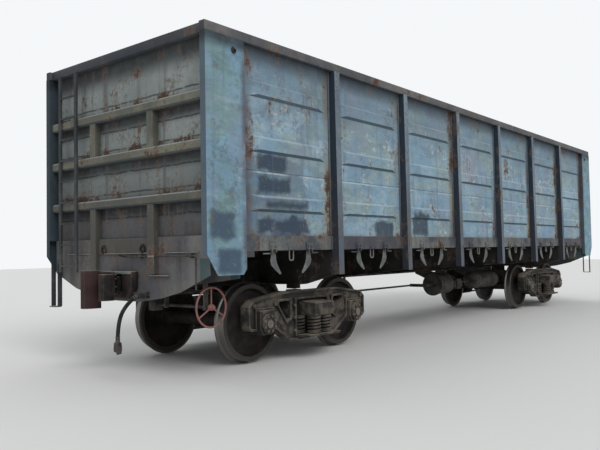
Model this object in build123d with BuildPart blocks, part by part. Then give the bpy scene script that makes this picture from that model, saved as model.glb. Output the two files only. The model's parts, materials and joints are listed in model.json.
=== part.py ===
"""Open four-axle gondola wagon with drop-bottom hatches, for 1520 mm gauge.

Millimetres. X runs along the wagon, Y across it, Z up. The origin is in the
middle of the wagon, level with the lowest point of the wheel flanges, so the
rail head is one flange height above it. End a lies at -X and the left side at
-Y. Heights named h_... are above the rail head, and up() adds the rail head.
"""
import os
from math import cos, pi, radians, sin, tan

from build123d import *

os.makedirs("parts", exist_ok=True)

# Wheels and axles
flange_height = 28
flange_width = 33
tread_diameter = 957
wheel_width = 130
wheel_back_to_back = 1440
rim_depth = 62
rim_recess = 48
hub_radius = 132
hub_length = 182
axle_radius = 82
journal_radius = 65
axle_length = 2294
wheelbase = 1850

# Side frames of the bogies
journal_centres = 2036
frame_length = 2413
frame_width = 144
frame_web = 80
frame_flange = 26
h_frame_end = 765
h_frame_mid = 840
h_frame_bottom = 215
h_frame_leg = 400
jaw_half = 140
h_jaw_top = 640
window_half = 325
h_window_top = 725
window_fillet = 40

# Springs and bogie bolsters
spring_radius = 100
spring_sides = 12
spring_pitch = 215
spring_row = 170
h_spring_seat = 285
h_spring_top = 520
seat_plate = 30
seat_lip = 15
bolster_length = 2596
bolster_width = 400
bowl_radius = 182
pivot_radius = 150
h_pivot = 800
h_bolster_top = 790
bearer_y = 762
bearer_half_length = 90
bearer_half_width = 62
h_bearer_foot = 700
h_bearer_top = 835

# Axle boxes
box_half = 130
box_cap_radius = 118
box_cap_depth = 36
box_inner = 85
box_front = 16
h_box_foot = 345
journal_end_gap = 4

# Brake shoes and beams
shoe_thickness = 45
shoe_width = 76
shoe_gap = 12

# Underframe
h_floor = 1424
floor_plate = 10
sill_depth = 310
sill_plate = 12
sill_flange = 16
h_sill_bottom = 922
sill_half = 175
sill_flange_out = 305
ridge_plate = 10
plate_t = 10
beam_flange = 190
beam_web = 12
bolster_web_gap = 100
side_bearer_y = 762
side_bearer_half = 72
side_bearer_reach = 60
side_bearer_gap = 12

# Body
bays = 7
bay_pitch = 1730
end_bay = 410
inside_width = 2911
sheet_t = 5
h_top = 3760
rail_depth = 102
rail_out = 1537
rail_in = 1450
side_sill_t = 14
h_side_sill_bottom = 1361
h_side_sill_top = 1533
ledge_in = 1395
corner_width = 578
corner_depth = 135
corner_out = 1542
h_corner_bottom = 1105
post_width = 110
post_foot = 170
post_sheet = 8
post_out_bottom = 1579
post_out_top = 1557
h_post_bottom = 1044
rib_bulge = 30
rib_height = 190
rib_ramp = 30
belt_depth = 95
stiffener_depth = 80
stiffener_width = 110
stiffener_y = 560

# Hatches
hatch_lap = 25
hatch_outer = 1440
hinge_y = 100
h_hinge = 1335
hinge_pin_radius = 16
hinge_heel = 12
hatch_gap = 6
hatch_plate = 6
hatch_rim = 55
hatch_rib_x = 480
bracket_x = 300
bracket_width = 18

# Couplers
end_plate_reach = 25
coupler_reach = 460
h_coupler = 1000
shank_half_width = 65
shank_half_height = 90
shank_length = 740
neck_length = 320
striker_half = 270
striker_depth = 100

# Brake gear, at its places on the underframe
pipe_radius = 21
pipe_y = 440
h_pipe = 880
pipe_hole = 32
cock_length = 90
cock_half = 38
hose_radius = 22
bend_share = 0.45
# columns: distance beyond the cock's mouth, height above it
hose_route = ((0, 0), (132, -70), (254, -265), (254, -485))
reservoir_radius = 160
cylinder_radius = 178
gear_y = -600

# Working clearances
pin_gap = 0.5
seat_gap = 0.3
journal_gap = 0.5
lap_gap = 8
shank_gap = 25

rail = flange_height
axle_z = rail + tread_diameter / 2
bogie_x = 2.5 * bay_pitch
wall_in = inside_width / 2
wall_out = wall_in + sheet_t
sill_face = wall_out + 0.5 + side_sill_t
end_in = bays * bay_pitch / 2 + end_bay
end_out = end_in + sheet_t
sill_end = end_in + end_plate_reach
end_face = sill_end + plate_t
corner_end = end_in + corner_depth
belt_out = end_out + belt_depth
coupling_plane = end_face + coupler_reach
hatch_opening = bay_pitch - beam_flange
hatch_length = hatch_opening + 2 * hatch_lap
hatch_inner = hinge_y - hinge_heel
ridge_half = hatch_inner - lap_gap
h_sill_top = h_sill_bottom + sill_depth
h_under_floor = h_floor - floor_plate
h_wall_top = h_top - rail_depth
middle = journal_centres / 2
half_wheelbase = wheelbase / 2
ENDS = (("a", -1), ("b", 1))
SIDES = (("l", -1), ("r", 1))
bay_middles = [(bay - (bays - 1) / 2) * bay_pitch for bay in range(bays)]
post_places = [(number - (bays - 2) / 2) * bay_pitch for number in range(bays - 1)]


def up(height):
    """Height above the origin of a height above the rail head."""
    return rail + height


def span(low, high):
    """The two limits of a span in rising order."""
    return (low, high) if low < high else (high, low)


def block(x, y, h, mode=Mode.ADD):
    """Box between the limits given along, across and above the rail head."""
    (x0, x1), (y0, y1), (h0, h1) = span(*x), span(*y), span(*h)
    with Locations(((x0 + x1) / 2, (y0 + y1) / 2, up((h0 + h1) / 2))):
        Box(x1 - x0, y1 - y0, h1 - h0, mode=mode)


def side_view(x=0, y=0):
    """Upright plane along the wagon: local X from x, local Y above the rail head, facing -Y."""
    return Plane(origin=(x, y, rail), x_dir=(1, 0, 0), z_dir=(0, -1, 0))


def end_view(x=0):
    """Upright plane across the wagon: local X is Y, local Y above the rail head, facing +X."""
    return Plane(origin=(x, 0, rail), x_dir=(0, 1, 0), z_dir=(1, 0, 0))


def top_view(h=0):
    """Level plane at a height above the rail head."""
    return Plane.XY.offset(up(h))


def plate(outline, plane, thickness, mode=Mode.ADD):
    """Flat piece with a straight-sided outline, half of its thickness each way from its plane."""
    with BuildSketch(plane) as face:
        with BuildLine():
            Polyline(*outline, close=True)
        make_face()
    extrude(face.sketch, amount=thickness / 2, both=True, mode=mode)


def rod(start, end, radius, mode=Mode.ADD):
    """Round bar between two points given as (x, y, height above the rail head)."""
    start = Vector(start[0], start[1], up(start[2]))
    end = Vector(end[0], end[1], up(end[2]))
    with BuildSketch(Plane(origin=start, z_dir=end - start)) as face:
        Circle(radius)
    extrude(face.sketch, amount=(end - start).length, mode=mode)


def finish(node, name):
    """Label a finished piece and write it."""
    node.part.label = name
    export_step(node.part, f"parts/{name}.step")


def wheelset(name, x):
    """Two forged wheels, dished on their outer faces, pressed on one axle."""
    back = wheel_back_to_back / 2
    front = back + wheel_width
    hub_front = back + hub_length
    web_front = front - rim_recess
    tread = tread_diameter / 2
    rim_in = tread - rim_depth
    bore = axle_radius + seat_gap
    axle = (
        (0, axle_radius), (hub_front, axle_radius), (hub_front, journal_radius),
        (axle_length / 2, journal_radius), (axle_length / 2, 0), (0, 0),
    )
    wheel = (
        (back, bore), (back, tread + flange_height), (back + flange_width, tread), (front, tread),
        (front, rim_in), (web_front, rim_in), (web_front, hub_radius), (hub_front, hub_radius), (hub_front, bore),
    )
    with BuildPart() as node:
        with BuildSketch(Plane(origin=(x, 0, axle_z), x_dir=(0, 1, 0), z_dir=(1, 0, 0))) as profile:
            for outline in (axle, wheel):
                with BuildLine():
                    Polyline(*outline, close=True)
                make_face()
            mirror(about=Plane.YZ)
        revolve(profile.sketch, axis=Axis((x, 0, axle_z), (0, 1, 0)))
    finish(node, name)


def side_frames(name, centre):
    """The two cast side frames of a bogie: a web with raised rims, three windows and the spring seat."""
    end = frame_length / 2
    axle = half_wheelbase
    outline = (
        (0, h_frame_bottom), (460, h_frame_bottom), (axle - jaw_half - 60, h_frame_leg - 10),
        (axle - jaw_half, h_frame_leg + 30), (axle - jaw_half, h_jaw_top), (axle + jaw_half, h_jaw_top),
        (axle + jaw_half, h_frame_leg), (end - 45, h_frame_leg), (end, h_frame_leg + 45),
        (end, h_frame_end - 75), (end - 90, h_frame_end), (560, h_frame_mid), (0, h_frame_mid),
    )
    side_window = ((450, h_window_top), (450, 500), (510, 465), (675, 690), (650, h_window_top))
    with BuildPart() as node:
        for _, side in SIDES:
            view = side_view(centre, side * middle)
            with BuildSketch(view) as whole:
                with BuildLine():
                    Polyline(*outline)
                    mirror(about=Plane.YZ)
                make_face()
            extrude(whole.sketch, amount=frame_web / 2, both=True)
            with BuildSketch(view) as rim:
                add(whole.sketch_local)
                offset(amount=-frame_flange, kind=Kind.INTERSECTION, mode=Mode.SUBTRACT)
            extrude(rim.sketch, amount=frame_width / 2, both=True)
            with BuildSketch(view) as windows:
                with Locations((0, (h_spring_seat + h_window_top) / 2)):
                    Rectangle(2 * window_half, h_window_top - h_spring_seat)
                with BuildLine():
                    Polyline(*side_window, close=True)
                make_face()
                with BuildLine():
                    Polyline(*((-x, h) for x, h in side_window), close=True)
                make_face()
            with BuildSketch(view) as borders:
                add(windows.sketch_local)
                offset(amount=frame_flange, kind=Kind.INTERSECTION)
            extrude(borders.sketch, amount=frame_width / 2, both=True)
            with BuildSketch(view) as rounded:
                add(windows.sketch_local)
                fillet(rounded.vertices().group_by(Axis.Y)[-1], window_fillet)
            extrude(rounded.sketch, amount=frame_width, both=True, mode=Mode.SUBTRACT)
            reach = spring_row + spring_radius + seat_lip
            block((centre - window_half, centre + window_half),
                  (side * middle - reach, side * middle + reach),
                  (h_spring_seat - seat_plate, h_spring_seat))
    finish(node, name)


def bogie_springs(name, centre):
    """Seven spring nests on each side frame, as plain columns."""
    # columns: rows outwards from the side frame, pitches along it
    nests = ((-1, -0.5), (-1, 0.5), (0, -1), (0, 0), (0, 1), (1, -0.5), (1, 0.5))
    with BuildPart() as node:
        with BuildSketch(top_view(h_spring_seat)) as columns:
            for _, side in SIDES:
                places = [(centre + pitch * spring_pitch, side * middle + row * spring_row)
                          for row, pitch in nests]
                with Locations(*places):
                    RegularPolygon(spring_radius, spring_sides)
        extrude(columns.sketch, amount=h_spring_top - h_spring_seat)
    finish(node, name)


def bogie_bolster(name, centre):
    """Bogie bolster with its centre seat and side bearers."""
    half = bolster_length / 2
    outline = (
        (half, h_spring_top), (half, 680), (820, 725), (420, h_bolster_top),
        (-420, h_bolster_top), (-820, 725), (-half, 680), (-half, h_spring_top),
        (-720, h_spring_top), (-420, 440), (420, 440), (720, h_spring_top),
    )
    with BuildPart() as node:
        plate(outline, end_view(centre), bolster_width)
        rod((centre, 0, h_bolster_top), (centre, 0, h_pivot), bowl_radius)
        for _, side in SIDES:
            block((centre - bearer_half_length, centre + bearer_half_length),
                  (side * (bearer_y - bearer_half_width), side * (bearer_y + bearer_half_width)),
                  (h_bearer_foot, h_bearer_top))
    finish(node, name)


def axle_boxes(name, centre):
    """Four roller axle boxes with their end caps."""
    inner = middle - box_inner
    cap = axle_length / 2 + journal_end_gap
    front = axle_length / 2 - box_front
    body = ((-box_half, h_jaw_top), (box_half, h_jaw_top), (box_half, 430), (85, h_box_foot),
            (-85, h_box_foot), (-box_half, 430))
    with BuildPart() as node:
        for _, side in SIDES:
            for sign in (-1, 1):
                x = centre + sign * half_wheelbase
                h_axle = axle_z - rail
                bore = journal_radius + journal_gap
                plate(body, side_view(x, side * (inner + front) / 2), front - inner)
                rod((x, side * front, h_axle), (x, side * (front + box_cap_depth), h_axle), box_cap_radius)
                block((x - bore, x + bore), (side * inner, side * cap), (h_axle - bore, h_axle + bore),
                      Mode.SUBTRACT)
    finish(node, name)


def brake_beams(name, centre):
    """Brake beams with shoes at the inner side of each wheel and hangers to the side frames."""
    shoe_in = tread_diameter / 2 + shoe_gap
    shoe_out = shoe_in + shoe_thickness
    track = wheel_back_to_back / 2 + wheel_width / 2 + 14
    beam_h = (390, 450)
    beam_depth = 52
    beam_lap = 12
    beam_over = 30
    bar = 24
    hanger_top = 700
    frame_inner = middle - frame_web / 2
    # degrees round the axle
    shoe_turns = (-21, -7, 7)
    with BuildPart() as node:
        for sign in (-1, 1):
            wheel_x = centre + sign * half_wheelbase
            beam_in = shoe_out - beam_lap
            block((wheel_x - sign * (beam_in + beam_depth), wheel_x - sign * beam_in),
                  (-track - beam_over, track + beam_over), beam_h)
            for _, side in SIDES:
                rim = [(shoe_in, turn) for turn in shoe_turns]
                rim += [(shoe_out, turn) for turn in shoe_turns[::-1]]
                outline = [(-sign * r * cos(radians(turn)), axle_z - rail + r * sin(radians(turn)))
                           for r, turn in rim]
                plate(outline, side_view(wheel_x, side * track), shoe_width)
                beam_x = wheel_x - sign * (beam_in + beam_depth / 2 - 4)
                across = (beam_x - bar / 2, beam_x + bar / 2)
                foot = track + beam_over
                block(across, (side * foot, side * (foot + bar)), (beam_h[0], hanger_top))
                block(across, (side * (foot + bar), side * frame_inner), (hanger_top - bar, hanger_top))
    finish(node, name)


def hatch(name, x, side):
    """One bottom hatch: plate with a turned-down rim, two cross ribs and its hinge bar between them."""
    top = h_under_floor - hatch_gap
    under = top - hatch_plate
    rim_bottom = top - hatch_rim
    half = hatch_length / 2
    edge = 8
    rib = 20
    knuckle = 2 * hinge_pin_radius
    with BuildPart() as node:
        block((x - half, x + half), (side * hatch_inner, side * hatch_outer), (under, top))
        block((x - half, x + half), (side * (hatch_outer - edge), side * hatch_outer), (rim_bottom, under))
        for sign in (-1, 1):
            block((x + sign * half, x + sign * (half - edge)),
                  (side * hatch_inner, side * (hatch_outer - edge)), (rim_bottom, under))
            outline = [(side * y, h) for y, h in (
                (hinge_y - knuckle, under), (hinge_y - knuckle, h_hinge - knuckle),
                (hinge_y + knuckle, h_hinge - knuckle), (hinge_y + 4 * knuckle, rim_bottom),
                (hatch_outer - edge, rim_bottom), (hatch_outer - edge, under))]
            plate(outline, end_view(x + sign * hatch_rib_x), rib)
        bar = hatch_rib_x - rib / 2
        rod((x - bar, side * hinge_y, h_hinge), (x + bar, side * hinge_y, h_hinge), hinge_pin_radius)
    finish(node, name)


# Centre sill: two Z-sections joined by their upper flanges, the floor ridge and hinge brackets on top
with BuildPart() as centre_sill:
    half_section = (
        (0, h_sill_top - sill_plate), (sill_half - sill_plate, h_sill_top - sill_plate),
        (sill_half - sill_plate, h_sill_bottom), (sill_flange_out, h_sill_bottom),
        (sill_flange_out, h_sill_bottom + sill_flange), (sill_half, h_sill_bottom + sill_flange),
        (sill_half, h_sill_top), (ridge_half, h_sill_top), (ridge_half, h_sill_top + ridge_plate),
        (ridge_plate / 2, h_sill_top + ridge_plate), (ridge_plate / 2, h_floor - ridge_plate),
        (ridge_half, h_floor - ridge_plate), (ridge_half, h_floor), (0, h_floor),
    )
    with BuildSketch(end_view()) as section:
        with BuildLine():
            Polyline(*half_section)
            mirror(about=Plane.YZ)
        make_face()
    extrude(section.sketch, amount=sill_end, both=True)
    eye = hinge_pin_radius + pin_gap
    cheek = hinge_y - 2 * eye
    hook = ((cheek, h_sill_top), (cheek, h_hinge + 2 * eye), (hinge_y + eye, h_hinge + 2 * eye),
            (hinge_y + eye, h_hinge + eye), (hinge_y - eye, h_hinge + eye), (hinge_y - eye, h_hinge - eye),
            (hinge_y + eye, h_hinge - eye), (hinge_y + 2 * eye, h_sill_top))
    for bay_x in bay_middles:
        for _, side in SIDES:
            for sign in (-1, 1):
                plate([(side * y, h) for y, h in hook], end_view(bay_x + sign * bracket_x), bracket_width)
finish(centre_sill, "centre_sill")

# Cross beams between the middle hatches: tapered web, bottom flange and floor flange
with BuildPart() as cross_beams:
    foot_flange = 100
    foot_t = 10
    for beam_x in post_places[1:-1]:
        for _, side in SIDES:
            web = ((sill_half, h_sill_bottom + sill_flange), (sill_flange_out, h_sill_bottom + sill_flange),
                   (sill_face, h_post_bottom + foot_t), (sill_face, h_side_sill_bottom),
                   (sill_face - side_sill_t, h_side_sill_bottom), (sill_face - side_sill_t, h_under_floor),
                   (sill_half, h_under_floor))
            plate([(side * y, h) for y, h in web], end_view(beam_x), beam_web)
            foot = ((sill_flange_out, h_sill_bottom + sill_flange - foot_t), (sill_face, h_post_bottom),
                    (sill_face, h_post_bottom + foot_t), (sill_flange_out, h_sill_bottom + sill_flange))
            plate([(side * y, h) for y, h in foot], end_view(beam_x), foot_flange)
            block((beam_x - beam_flange / 2, beam_x + beam_flange / 2), (side * ridge_half, side * ledge_in),
                  (h_under_floor, h_floor))
finish(cross_beams, "cross_beams")

# Bolster beams over the bogies: two webs, floor flange, bottom plate, pivot and side bearings
with BuildPart() as bolster_beams:
    knee = 950
    bottom_t = 16
    waist = 200
    for _, sign in ENDS:
        beam_x = sign * bogie_x
        for _, side in SIDES:
            web = ((sill_half, h_sill_bottom + sill_flange), (sill_flange_out, h_sill_bottom + sill_flange),
                   (sill_flange_out, h_sill_bottom), (knee, h_sill_bottom),
                   (sill_face, h_post_bottom + bottom_t), (sill_face, h_side_sill_bottom),
                   (sill_face - side_sill_t, h_side_sill_bottom),
                   (sill_face - side_sill_t, h_under_floor), (sill_half, h_under_floor))
            for web_x in (beam_x - bolster_web_gap / 2, beam_x + bolster_web_gap / 2):
                plate([(side * y, h) for y, h in web], end_view(web_x), beam_web)
            foot = ((knee, h_sill_bottom - bottom_t), (sill_face, h_post_bottom),
                    (sill_face, h_post_bottom + bottom_t), (knee, h_sill_bottom))
            plate([(side * y, h) for y, h in foot], end_view(beam_x), bolster_web_gap + 2 * beam_web)
            block((beam_x - beam_flange / 2, beam_x + beam_flange / 2), (side * ridge_half, side * ledge_in),
                  (h_under_floor, h_floor))
            block((beam_x - side_bearer_reach, beam_x + side_bearer_reach),
                  (side * (side_bearer_y - side_bearer_half), side * (side_bearer_y + side_bearer_half)),
                  (h_bearer_top + side_bearer_gap, h_sill_bottom - bottom_t))
        end_half = bolster_web_gap / 2 + beam_web
        widest = sill_flange_out + 115
        lozenge = ((end_half, -knee), (waist, -widest), (waist, widest), (end_half, knee))
        plate([(beam_x + x, y) for x, y in lozenge] + [(beam_x - x, y) for x, y in lozenge[::-1]],
              top_view(h_sill_bottom - bottom_t / 2), bottom_t)
        rod((beam_x, 0, h_pivot + seat_gap), (beam_x, 0, h_sill_bottom - bottom_t), pivot_radius)
finish(bolster_beams, "bolster_beams")

# End beams: face plate deepened round the coupler pocket, and the end floor on its inner web
with BuildPart() as end_beams:
    face_half = ((0, h_side_sill_top), (sill_face, h_side_sill_top), (sill_face, 1112), (1010, 927),
                 (680, 850), (striker_half + 30, 800), (0, 800))
    inner = ((sill_half, h_sill_bottom + sill_flange), (sill_flange_out, h_sill_bottom + sill_flange),
             (sill_flange_out, h_sill_bottom + 4), (sill_face - side_sill_t, 1060),
             (sill_face - side_sill_t, h_under_floor), (sill_half, h_under_floor))
    web_x = bays * bay_pitch / 2
    pocket_half = shank_half_width + shank_gap
    pocket = (h_coupler - shank_half_height - shank_gap, h_coupler + shank_half_height + shank_gap)
    for _, sign in ENDS:
        with BuildSketch(end_view(sign * (sill_end + plate_t / 2))) as face:
            with BuildLine():
                Polyline(*face_half)
                mirror(about=Plane.YZ)
            make_face()
        extrude(face.sketch, amount=plate_t / 2, both=True)
        for _, side in SIDES:
            plate([(side * y, h) for y, h in inner], end_view(sign * web_x), plate_t)
            block((sign * (web_x - beam_flange / 2), sign * (sill_end - seat_gap)),
                  (side * ridge_half, side * ledge_in), (h_under_floor, h_floor))
        block((sign * sill_end, sign * end_face), (-pocket_half, pocket_half), pocket, Mode.SUBTRACT)
        block((sign * sill_end, sign * end_face), (sign * pipe_y - pipe_hole, sign * pipe_y + pipe_hole),
              (h_pipe - pipe_hole, h_pipe + pipe_hole), Mode.SUBTRACT)
finish(end_beams, "end_beams")

# Side sills: an upright plate each, and the ledge over the hatch edges that the floor plates carry
with BuildPart() as side_sills:
    inner_face = sill_face - side_sill_t
    for _, side in SIDES:
        block((-sill_end, sill_end), (side * inner_face, side * sill_face),
              (h_side_sill_bottom, h_side_sill_top))
        block((-sill_end, sill_end), (side * ledge_in, side * (inner_face - seat_gap)),
              (h_under_floor, h_floor))
finish(side_sills, "side_sills")

# Side walls: one sheet, pressed out in three ribs between the posts of each bay
rib_bottoms = (1801, 2473, 3101)
rib_length = 1400
rib_crest = 1120
for side_name, side in SIDES:
    with BuildPart() as rib:
        crest = wall_out + rib_bulge
        ramps = ((wall_out, 0), (crest, rib_ramp), (crest, rib_height - rib_ramp), (wall_out, rib_height))
        plate([(side * y, h) for y, h in ramps], end_view(), rib_length)
        ends = ((rib_length / 2, wall_out), (rib_crest / 2, crest),
                (-rib_crest / 2, crest), (-rib_length / 2, wall_out))
        plate([(x, side * y) for x, y in ends], top_view(rib_height / 2), rib_height, Mode.INTERSECT)
    places = [(bay_x, 0, h_rib) for bay_x in bay_middles for h_rib in rib_bottoms]
    with BuildPart() as side_wall:
        block((-end_in, end_in), (side * wall_in, side * wall_out), (h_floor, h_wall_top))
        with Locations(*places):
            add(rib.part)
        with Locations(*[(x, -side * sheet_t, h) for x, _, h in places]):
            add(rib.part, mode=Mode.SUBTRACT)
    finish(side_wall, f"side_wall_{side_name}")

# Side posts: tapered hat sections over the ends of the cross beams
for side_name, side in SIDES:
    with BuildPart() as side_posts:
        back = ((wall_out, h_wall_top), (wall_out, h_side_sill_top), (sill_face, h_side_sill_top),
                (sill_face, h_post_bottom))
        for post_x in post_places:
            crown = [(side * y, h) for y, h in back + ((post_out_bottom, h_post_bottom),
                                                       (post_out_top, h_wall_top))]
            hollow = [(side * y, h) for y, h in back + ((post_out_bottom - post_sheet, h_post_bottom),
                                                        (post_out_top - post_sheet, h_wall_top))]
            plate(crown, end_view(post_x), post_width)
            plate(hollow, end_view(post_x), post_width - 2 * post_sheet, Mode.SUBTRACT)
            for sign in (-1, 1):
                flange = (post_x + sign * post_width / 2, post_x + sign * post_foot / 2)
                block(flange, (side * wall_out, side * (wall_out + post_sheet)),
                      (h_side_sill_top, h_wall_top))
                block(flange, (side * sill_face, side * (sill_face + post_sheet)),
                      (h_side_sill_bottom, h_side_sill_top))
    finish(side_posts, f"side_posts_{side_name}")

# Corner posts: wide pressed sections at the four corners, cut back at the foot
with BuildPart() as corner_posts:
    inner_x = corner_end - corner_width
    foot_plate = 190
    foot_depth = 70
    for _, sign in ENDS:
        for _, side in SIDES:
            skin = ((inner_x, sill_face), (inner_x, corner_out), (corner_end, corner_out),
                    (corner_end, sill_face), (corner_end - post_sheet, sill_face),
                    (corner_end - post_sheet, corner_out - post_sheet),
                    (inner_x + post_sheet, corner_out - post_sheet), (inner_x + post_sheet, sill_face))
            plate([(sign * x, side * y) for x, y in skin], top_view((h_corner_bottom + h_wall_top) / 2),
                  h_wall_top - h_corner_bottom)
            block((sign * inner_x, sign * corner_end), (side * wall_out, side * sill_face),
                  (h_side_sill_top, h_wall_top))
            outer_cut = ((corner_end, h_corner_bottom + 225), (corner_end, h_corner_bottom),
                         (corner_end - 150, h_corner_bottom))
            inner_cut = ((inner_x, h_corner_bottom + 60), (inner_x, h_corner_bottom),
                         (inner_x + 50, h_corner_bottom))
            for cut in (outer_cut, inner_cut):
                plate([(sign * x, h) for x, h in cut], side_view(0, side * (sill_face + corner_out) / 2),
                      corner_out - sill_face + 2, Mode.SUBTRACT)
            block((sign * (inner_x - foot_plate), sign * inner_x),
                  (side * (sill_face - side_sill_t), side * sill_face),
                  (h_side_sill_bottom - foot_depth, h_side_sill_bottom))
finish(corner_posts, "corner_posts")

# Top rails round the box
with BuildPart() as side_rails:
    for _, side in SIDES:
        block((-corner_end, corner_end), (side * rail_in, side * rail_out), (h_wall_top, h_top))
finish(side_rails, "side_rails")

with BuildPart() as end_rails:
    for _, sign in ENDS:
        block((sign * end_in, sign * belt_out), (-rail_in, rail_in), (h_wall_top, h_top))
finish(end_rails, "end_rails")

# End walls with three belts, and stiffeners below and between them
# columns: lower edge, upper edge
belts = ((1900, 2005), (2435, 2545), (2955, 3065))
belt_lip = 18
stiffener_out = end_out + stiffener_depth
h_stiffener_foot = 1120
h_pad = (1340, 1520)
pad_t = 12
for end_name, sign in ENDS:
    with BuildPart() as end_wall:
        block((sign * end_in, sign * end_out), (-wall_in, wall_in), (h_floor, h_wall_top))
    finish(end_wall, f"end_wall_{end_name}")

    with BuildPart() as end_belts:
        for low, high in belts:
            channel = ((end_out, low), (belt_out - belt_lip, low), (belt_out, low + belt_lip),
                       (belt_out, high - belt_lip), (belt_out - belt_lip, high), (end_out, high))
            plate([(sign * x, h) for x, h in channel], side_view(), 2 * wall_in)
        for _, side in SIDES:
            y = (side * (stiffener_y - stiffener_width / 2), side * (stiffener_y + stiffener_width / 2))
            block((sign * end_out, sign * stiffener_out), y, (belts[1][1], belts[2][0]))
            block((sign * end_out, sign * stiffener_out), y, (h_side_sill_top, belts[0][0]))
            block((sign * end_face, sign * stiffener_out), y, (h_stiffener_foot, h_side_sill_top))
        block((sign * end_face, sign * (end_face + pad_t)), (-stiffener_y, stiffener_y), h_pad)
    finish(end_belts, f"end_belts_{end_name}")

# Ladders on the end walls, and a step under the corner beside each
with BuildPart() as ladders:
    ladder_rails = (880, 1240)
    rail_bar = 50
    ladder_out = belt_out + 25
    first_rung = 1206
    rung_pitch = 270
    rungs = 9
    rung_bar = 20
    h_ladder = (1130, h_wall_top - 18)
    step_in, step_out = 1350, 1500
    step_bar = 12
    step_strap = 60
    step_depth = 90
    h_step = 690
    h_strap_top = 1240
    for _, sign in ENDS:
        side = -sign
        for y in ladder_rails:
            block((sign * belt_out, sign * ladder_out),
                  (side * (y - rail_bar / 2), side * (y + rail_bar / 2)), h_ladder)
        for rung in range(rungs):
            h = first_rung + rung_pitch * rung
            block((sign * (ladder_out - rung_bar), sign * ladder_out),
                  (side * (ladder_rails[0] + rail_bar / 2), side * (ladder_rails[1] - rail_bar / 2)),
                  (h - rung_bar / 2, h + rung_bar / 2))
        for y in (step_in, step_out):
            block((sign * end_face, sign * (end_face + step_strap)), (side * y, side * (y - step_bar)),
                  (h_step, h_strap_top))
        block((sign * end_face, sign * (end_face + step_depth)), (side * step_in, side * step_out),
              (h_step - step_bar, h_step))
finish(ladders, "ladders")

# Couplers: shank, flared neck with level ribs, and a head with a large and a small tooth
# columns: distance behind the coupling plane and across, for each tooth
large_tooth = ((-190, 60), (-190, 190), (-150, 215), (-60, 215), (0, 185), (0, 110), (-60, 70), (-150, 50))
small_tooth = ((-190, -60), (-165, -50), (-60, -80), (-30, -125), (-50, -190), (-120, -210), (-190, -200))
head_depth = 190
head_plate = 35
neck_core = 110
neck_rib = 18
head_sides = (-200, 190)
head_heights = (-165, 155)
for end_name, sign in ENDS:
    with BuildPart() as coupler:
        neck_x = coupling_plane - neck_length
        head_x = coupling_plane - head_depth
        block((sign * (neck_x - shank_length), sign * neck_x), (-shank_half_width, shank_half_width),
              (h_coupler - shank_half_height, h_coupler + shank_half_height))
        core = ((neck_x, -shank_half_width), (head_x, -neck_core), (head_x, neck_core),
                (neck_x, shank_half_width))
        plate([(sign * x, -sign * y) for x, y in core], top_view(h_coupler), 2 * shank_half_height + 60)
        flare = ((neck_x, -shank_half_width), (head_x, head_sides[0]), (head_x, head_sides[1]),
                 (neck_x, shank_half_width))
        for rib_h in (-111, -24, 70, 111):
            plate([(sign * x, -sign * y) for x, y in flare], top_view(h_coupler + rib_h), neck_rib)
        block((sign * head_x, sign * (head_x + head_plate)), [-sign * y for y in head_sides],
              [h_coupler + h for h in head_heights])
        # columns: tooth outline, lower and upper face from the coupler's centre line
        for tooth, low, high in ((large_tooth, -265, 167), (small_tooth, -170, 125)):
            plate([(sign * (coupling_plane + x), -sign * y) for x, y in tooth],
                  top_view(h_coupler + (low + high) / 2), high - low)
    finish(coupler, f"coupler_{end_name}")

# Strikers round the coupler shanks, with the beam that carries each shank
with BuildPart() as strikers:
    h_striker_top = h_coupler + 150
    carrier_half = 190
    carrier_back = 30
    for _, sign in ENDS:
        front = end_face + striker_depth
        shield = ((striker_half, h_striker_top), (striker_half, h_coupler - 40),
                  (carrier_half, h_coupler - 160), (-carrier_half, h_coupler - 160),
                  (-striker_half, h_coupler - 40), (-striker_half, h_striker_top))
        plate(shield, end_view(sign * (end_face + striker_depth / 2)), striker_depth)
        block((sign * end_face, sign * front), (-pocket_half, pocket_half), pocket, Mode.SUBTRACT)
        block((sign * (end_face + carrier_back), sign * front), (-pocket_half, pocket_half),
              (pocket[0], h_coupler - shank_half_height))
finish(strikers, "strikers")

# Air reservoir, brake cylinder and distributor, each on hangers from the centre sill
h_gear = 680
hanger_t = 12


def beam_under(y):
    """Height of the cross beams' lower flange at a distance from the middle of the wagon."""
    inner = h_sill_bottom + sill_flange - foot_t
    return inner + (h_post_bottom - inner) * (y - sill_flange_out) / (sill_face - sill_flange_out)


def hanger(x, reach):
    """Hanger plate from the centre sill's flange out over the brake gear."""
    outline = ((-sill_half, h_sill_bottom), (-sill_half, h_sill_bottom - 42), (gear_y, h_gear + 20),
               (gear_y, h_gear + reach), (-sill_flange_out, h_sill_bottom))
    plate(outline, end_view(x), hanger_t)


with BuildPart() as air_reservoir:
    rod((1420, gear_y, h_gear), (2590, gear_y, h_gear), reservoir_radius)
    for x in (1640, 2370):
        hanger(x, reservoir_radius + 20)
finish(air_reservoir, "air_reservoir")

with BuildPart() as brake_cylinder:
    rod((-100, gear_y, h_gear), (400, gear_y, h_gear), cylinder_radius)
    rod((-125, gear_y, h_gear), (-100, gear_y, h_gear), cylinder_radius + 26)
    rod((-420, gear_y, h_gear), (-125, gear_y, h_gear), 32)
    for x in (0, 300):
        hanger(x, cylinder_radius + 10)
finish(brake_cylinder, "brake_cylinder")

with BuildPart() as air_distributor:
    block((700, 880), (gear_y - 90, gear_y + 90), (560, 750))
    block((640, 700), (gear_y - 70, gear_y + 70), (590, 720))
    block((880, 980), (gear_y - 60, gear_y + 60), (600, 710))
    hanger(790, 110)
finish(air_distributor, "air_distributor")

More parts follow.
